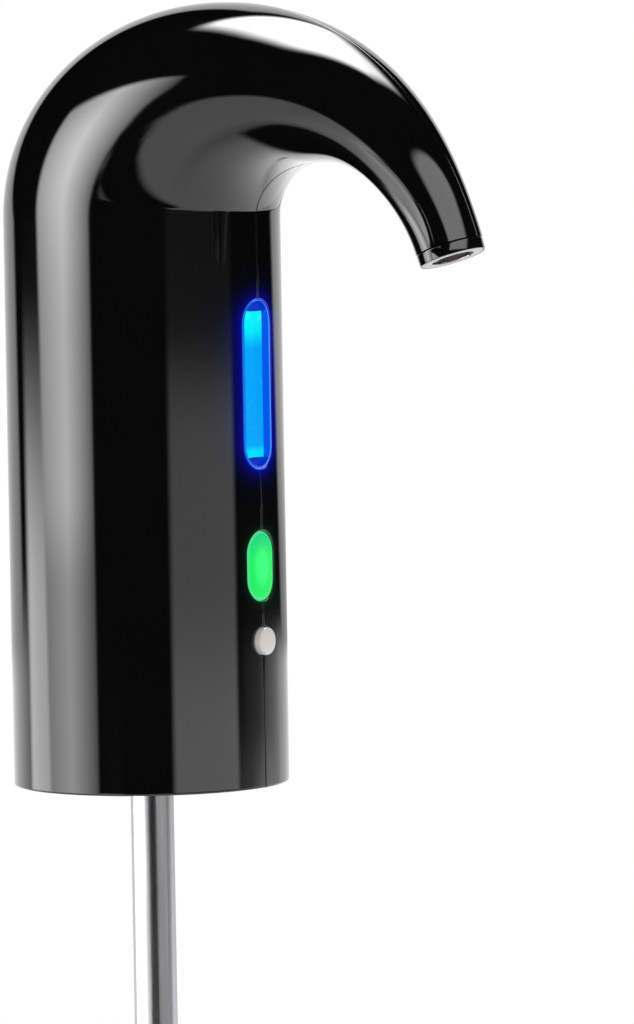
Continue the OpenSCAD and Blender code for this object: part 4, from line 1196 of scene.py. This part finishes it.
def spout_light(u, v):
    """Leaning softbox on the right, with a round top, met by the spout."""
    lean, foot, offset, half_w = 0.67, 145.0, 6.0, 31.5
    shoulder, dome_h, level = 168.0, 24.0, 2.4
    aside = (u - (v - foot) * lean + offset) / half_w
    cover = span(aside, v.past(shoulder) / dome_h).fall(0.78, 1.2)
    return cover * v.ease(134.0, 137.0), (level, level, level)


def sweep_light(turn, rise):
    """Pale sweep and table behind the part, with shelves of light at the lower right."""
    edge, slope, right_slope, right_dim = 46.0, 1.2, 3.25, 0.42
    table_level, floor_level = 1.4, 1.7
    behind = 180.0 - abs(turn)
    beside = turn.over(0.0)
    sweep = ((edge - behind) / slope - rise + rise.below(0.0) * beside * right_slope).ease(-3.0, 3.0)
    sweep = sweep * behind.fall(60.0, 80.0) * (1.0 - rise.fall(-4.5, -2.5) * beside * right_dim)
    table = rise.fall(-5.2, -4.0) * behind.fall(40.0, 96.0) * (1.0 - beside) * table_level
    shelf = turn.stairs(
        0.0, (75.0, 100.0, 0.2), (100.0, 122.0, 0.45), (121.0, 134.0, 0.27), (133.0, 140.0, 0.3))
    deep = turn.stairs(0.0, (72.0, 82.0, 0.35), (92.0, 110.0, 0.5), (115.0, 135.0, -0.7))
    shelf = shelf * rise.fall(-5.0, -4.5) + deep * rise.fall(-6.3, -5.4)
    floor = (turn.ease(92.0, 104.0) + (-turn).ease(125.0, 150.0)) * rise.fall(-14.0, -10.0) * floor_level
    return sweep.above(table).above(shelf).above(floor)


def overhead_light(way, rise, level, right):
    """Bright card overhead with soft edges and cut corners, brighter at its near end."""
    cosine, sine = 0.734, 0.68
    near_slant, far_slant, corner = 0.35, 0.2, 0.6
    peak, drop = 14.0, 9.0
    along = way.dot(right * cosine - level * sine)
    across = way.dot(right * -sine - level * cosine)
    near = (along - across.past(0.2) * near_slant).ease(-0.1, 0.17)
    cut = (across + along * far_slant - along.past(0.5) * corner).ease(-0.09, 0.07)
    card = near * along.fall(0.66, 0.76) * cut * across.fall(0.44, 0.52)
    return card * rise.ease(10.0, 20.0) * (peak - along.ease(0.38, 0.8) * drop)


def left_glow(turn, rise):
    """Glow on the left, below a slanting line, with a patch beside it."""
    middle, slope, depth, highest, patch = -33.0, 0.35, 13.0, 3.0, 1.8
    slant = (rise + (turn - middle) * slope + depth).above(rise + highest)
    glow = slant.fall(-1.5, 1.5) * turn.between(-118.0, -25.0, 5.0) * rise.ease(-40.0, -36.0)
    glow = glow * rise.stairs(1.4, (-32.0, -18.0, 1.6), (-18.0, -8.0, 1.2))
    return glow.above(turn.between(-38.0, -22.0, 3.0) * rise.between(-18.0, -8.0, 1.5) * patch)


def right_glow(turn, rise):
    """Low strip on the right, brighter towards its foot."""
    level = rise.fall(-3.0, -1.9) * 0.78 + rise.fall(-5.6, -4.2) * 0.55 + 0.05
    return level * turn.between(20.5, 79.0, 3.0) * rise.between(-7.5, 2.0, 0.8)


def board(name, origin, side, up, sides, heights, light, slant=0.0):
    """A light card of the studio that is seen only in reflections, from the column's side.

    Its u and v run along side and up in millimetres; light(u, v) gives its cover and its level."""
    spots = [(sides[0], heights[1]), (sides[1], heights[1]), (sides[1], heights[0]), (sides[0], heights[0])]
    corners = [origin + side * u + up * v for u, v in spots]
    mesh = bpy.data.meshes.new(name)
    mesh.from_pydata([corner - UP * slant * corner.x for corner in corners], [], [(0, 1, 2, 3)])
    material = bpy.data.materials.new(name)
    graph = Graph(material)
    cover, level = light(graph.place().dot(side) / MM, graph.place().dot(up) / MM)
    front = 1.0 - graph.node("ShaderNodeNewGeometry")["Backfacing"]
    glow = graph.node("ShaderNodeEmission", None, {"Color": level})
    graph.mix_out(cover * front, graph.node("ShaderNodeBsdfTransparent"), glow)
    mesh.materials.append(material)
    piece = added(name, mesh)
    piece.visible_camera = False
    piece.visible_diffuse = False
    piece.visible_transmission = False
    piece.visible_shadow = False


class AERATOR_OT_studio(bpy.types.Operator):
    """Sets up the floor, the light and the camera"""

    bl_idname = "aerator.studio"
    bl_label = "Studio"

    def execute(self, context):
        scene = context.scene
        t = scene.aerator_studio
        scene.view_settings.view_transform = "Standard"
        level = Vector((math.sin(t.azimuth), -math.cos(t.azimuth), 0))
        right = Vector((math.cos(t.azimuth), math.sin(t.azimuth), 0))
        self.camera(scene, t, level, right)
        self.floor(t)
        self.world(scene, t, level, right)
        self.boards(scene.aerator_shell, level, right)
        self.flag(scene.aerator_shell, scene.aerator_front)
        return {"FINISHED"}

    def camera(self, scene, t, level, right):
        """A camera at the photograph's angle."""
        back = level * math.cos(t.elevation) + UP * math.sin(t.elevation)
        up = back.cross(right)
        side = math.cos(t.roll) * right + math.sin(t.roll) * up
        top = math.cos(t.roll) * up - math.sin(t.roll) * right
        target = right * t.target_side + UP * t.target_z
        data = bpy.data.cameras.new("Camera")
        data.sensor_width = t.sensor
        data.lens = t.focal_px * t.sensor / IMAGE_H
        data.clip_start = 0.01
        data.clip_end = 50.0
        scene.camera = added("Camera", data)
        turn = Matrix((side, top, back)).transposed().to_4x4()
        scene.camera.matrix_world = Matrix.Translation(target + back * t.distance) @ turn

    def floor(self, t):
        """A pale round floor that fades out, and is clear from below."""
        count, radii, shade = 64, (0.2, 0.8), (0.94, 0.94, 0.94)
        turns = [2 * math.pi * k / count for k in range(count)]
        ring, faces = skin([[(r * math.cos(a), r * math.sin(a), t.floor_z) for a in turns] for r in radii])
        faces = [tuple(v + 1 for v in reversed(f)) for f in faces]
        faces += [(0, 1 + k, 1 + (k + 1) % count) for k in range(count)]
        mesh = bpy.data.meshes.new("floor")
        mesh.from_pydata([(0, 0, t.floor_z)] + ring, [], faces)
        material = bpy.data.materials.new("Pale floor")
        graph = Graph(material)
        x, y, _ = graph.split(graph.place())
        under = graph.node("ShaderNodeNewGeometry")["Backfacing"]
        fade = span(x, y).ease(0.35, 0.78).above(under)
        matt = graph.node("ShaderNodeBsdfDiffuse", None, {"Color": shade})
        graph.mix_out(fade, matt, graph.node("ShaderNodeBsdfTransparent"))
        mesh.materials.append(material)
        added("floor", mesh)

    def world(self, scene, t, level, right):
        """White to the camera, plain light on matt surfaces, and a dark studio in reflections."""
        scene.world = bpy.data.worlds.new("Studio")
        graph = Graph(scene.world)
        path = graph.node("ShaderNodeLightPath")
        way = graph.node("ShaderNodeTexCoord")["Generated"]
        degrees = 180 / math.pi
        _, _, height = graph.split(way)
        rise = height.maths("ARCSINE", height) * degrees
        turn = height.maths("ARCTAN2", way.dot(right), way.dot(level)) * degrees
        seen = sweep_light(turn, rise).above(left_glow(turn, rise))
        seen = seen + overhead_light(way, rise, level, right) + right_glow(turn, rise)
        glossy = path["Is Glossy Ray"].above(path["Is Transmission Ray"])
        light = glossy * (seen - t.ambient) + t.ambient
        light = path["Is Camera Ray"] * (1.0 - light) + light
        plain = graph.node("ShaderNodeBackground", None, {"Color": light})
        graph.node("ShaderNodeOutputWorld", None, {"Surface": plain})

    def boards(self, s, level, right):
        """Near softboxes on upright planes, at angles round from the camera's side, and a flat one."""
        for name, degrees, distance, light, sides, heights in (
                ("left_board", -75.0, 0.11, left_light, (-0.03, 0.1), (-0.04, 0.26)),
                ("fill_board", -33.0, 0.07, fill_light, (-0.01, 0.09), (0.1325, 0.172)),
                ("spout_board", 45.0, 0.13, spout_light, (-0.06, 0.08), (0.125, 0.2))):
            turn = math.radians(degrees)
            out = math.cos(turn) * level + math.sin(turn) * right
            board(name, out * distance, UP.cross(out), UP, sides, heights, light)
        sunk = 0.0001
        foot = UP * (s.column_h + s.bend_lift + s.bend_slope * s.column_r - sunk)
        board("apron_board", foot, right, level, (-0.05, 0.056), (0.006, 0.15), apron_light, s.bend_slope)

    def flag(self, s, f):
        """Black flag that keeps the lit window out of the reflections."""
        margin, gap, soft = 0.003, 0.0009, 0.2
        wide, tall = f.window_w / 2 + margin, f.window_h / 2 + margin

        def light(u, v):
            past = abs(v - f.window_z / MM).past((tall - wide) / MM)
            return span(u, past).fall(wide / MM - soft, wide / MM), DARK

        place = Vector((s.column_r + gap, 0, 0))
        levels = (f.window_z - tall, f.window_z + tall)
        board("window_flag", place, Vector((0, -1, 0)), UP, (-wide, wide), levels, light)


class AERATOR_PT_panel(bpy.types.Panel):
    """Lists the sizes, the colours and the operators"""

    bl_idname = "AERATOR_PT_panel"
    bl_label = "Aerator"
    bl_space_type = "VIEW_3D"
    bl_region_type = "UI"
    bl_category = "Aerator"

    def draw(self, context):
        """The operators first, and then each group's values."""
        for operator in OPERATORS:
            self.layout.operator(operator.bl_idname)
        for name in GROUPS:
            group = getattr(context.scene, name)
            box = self.layout.box()
            box.label(text=group.bl_rna.description)
            for field in group.bl_rna.properties:
                if not field.is_readonly and field.identifier != "name":
                    box.prop(group, field.identifier)


GROUPS = {
    "aerator_shell": ShellSizes,
    "aerator_front": FrontSizes,
    "aerator_ends": EndSizes,
    "aerator_colours": FinishColours,
    "aerator_studio": StudioSettings,
}
OPERATORS = (
    AERATOR_OT_shells,
    AERATOR_OT_spout,
    AERATOR_OT_window,
    AERATOR_OT_buttons,
    AERATOR_OT_plug,
    AERATOR_OT_fittings,
    AERATOR_OT_studio,
)


def register():
    """Registers the groups of sizes and colours, the operators and the panel."""
    for name, group in GROUPS.items():
        bpy.utils.register_class(group)
        setattr(bpy.types.Scene, name, bpy.props.PointerProperty(type=group))
    for item in (*OPERATORS, AERATOR_PT_panel):
        bpy.utils.register_class(item)


def unregister():
    """Takes them away again, in reverse order."""
    for item in (AERATOR_PT_panel, *reversed(OPERATORS)):
        bpy.utils.unregister_class(item)
    for name, group in reversed(GROUPS.items()):
        delattr(bpy.types.Scene, name)
        bpy.utils.unregister_class(group)


def main():
    """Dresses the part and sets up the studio."""
    register()
    bpy.ops.aerator.shells()
    bpy.ops.aerator.spout()
    bpy.ops.aerator.window()
    bpy.ops.aerator.buttons()
    bpy.ops.aerator.plug()
    bpy.ops.aerator.fittings()
    bpy.ops.aerator.studio()


if __name__ == "__main__":
    main()
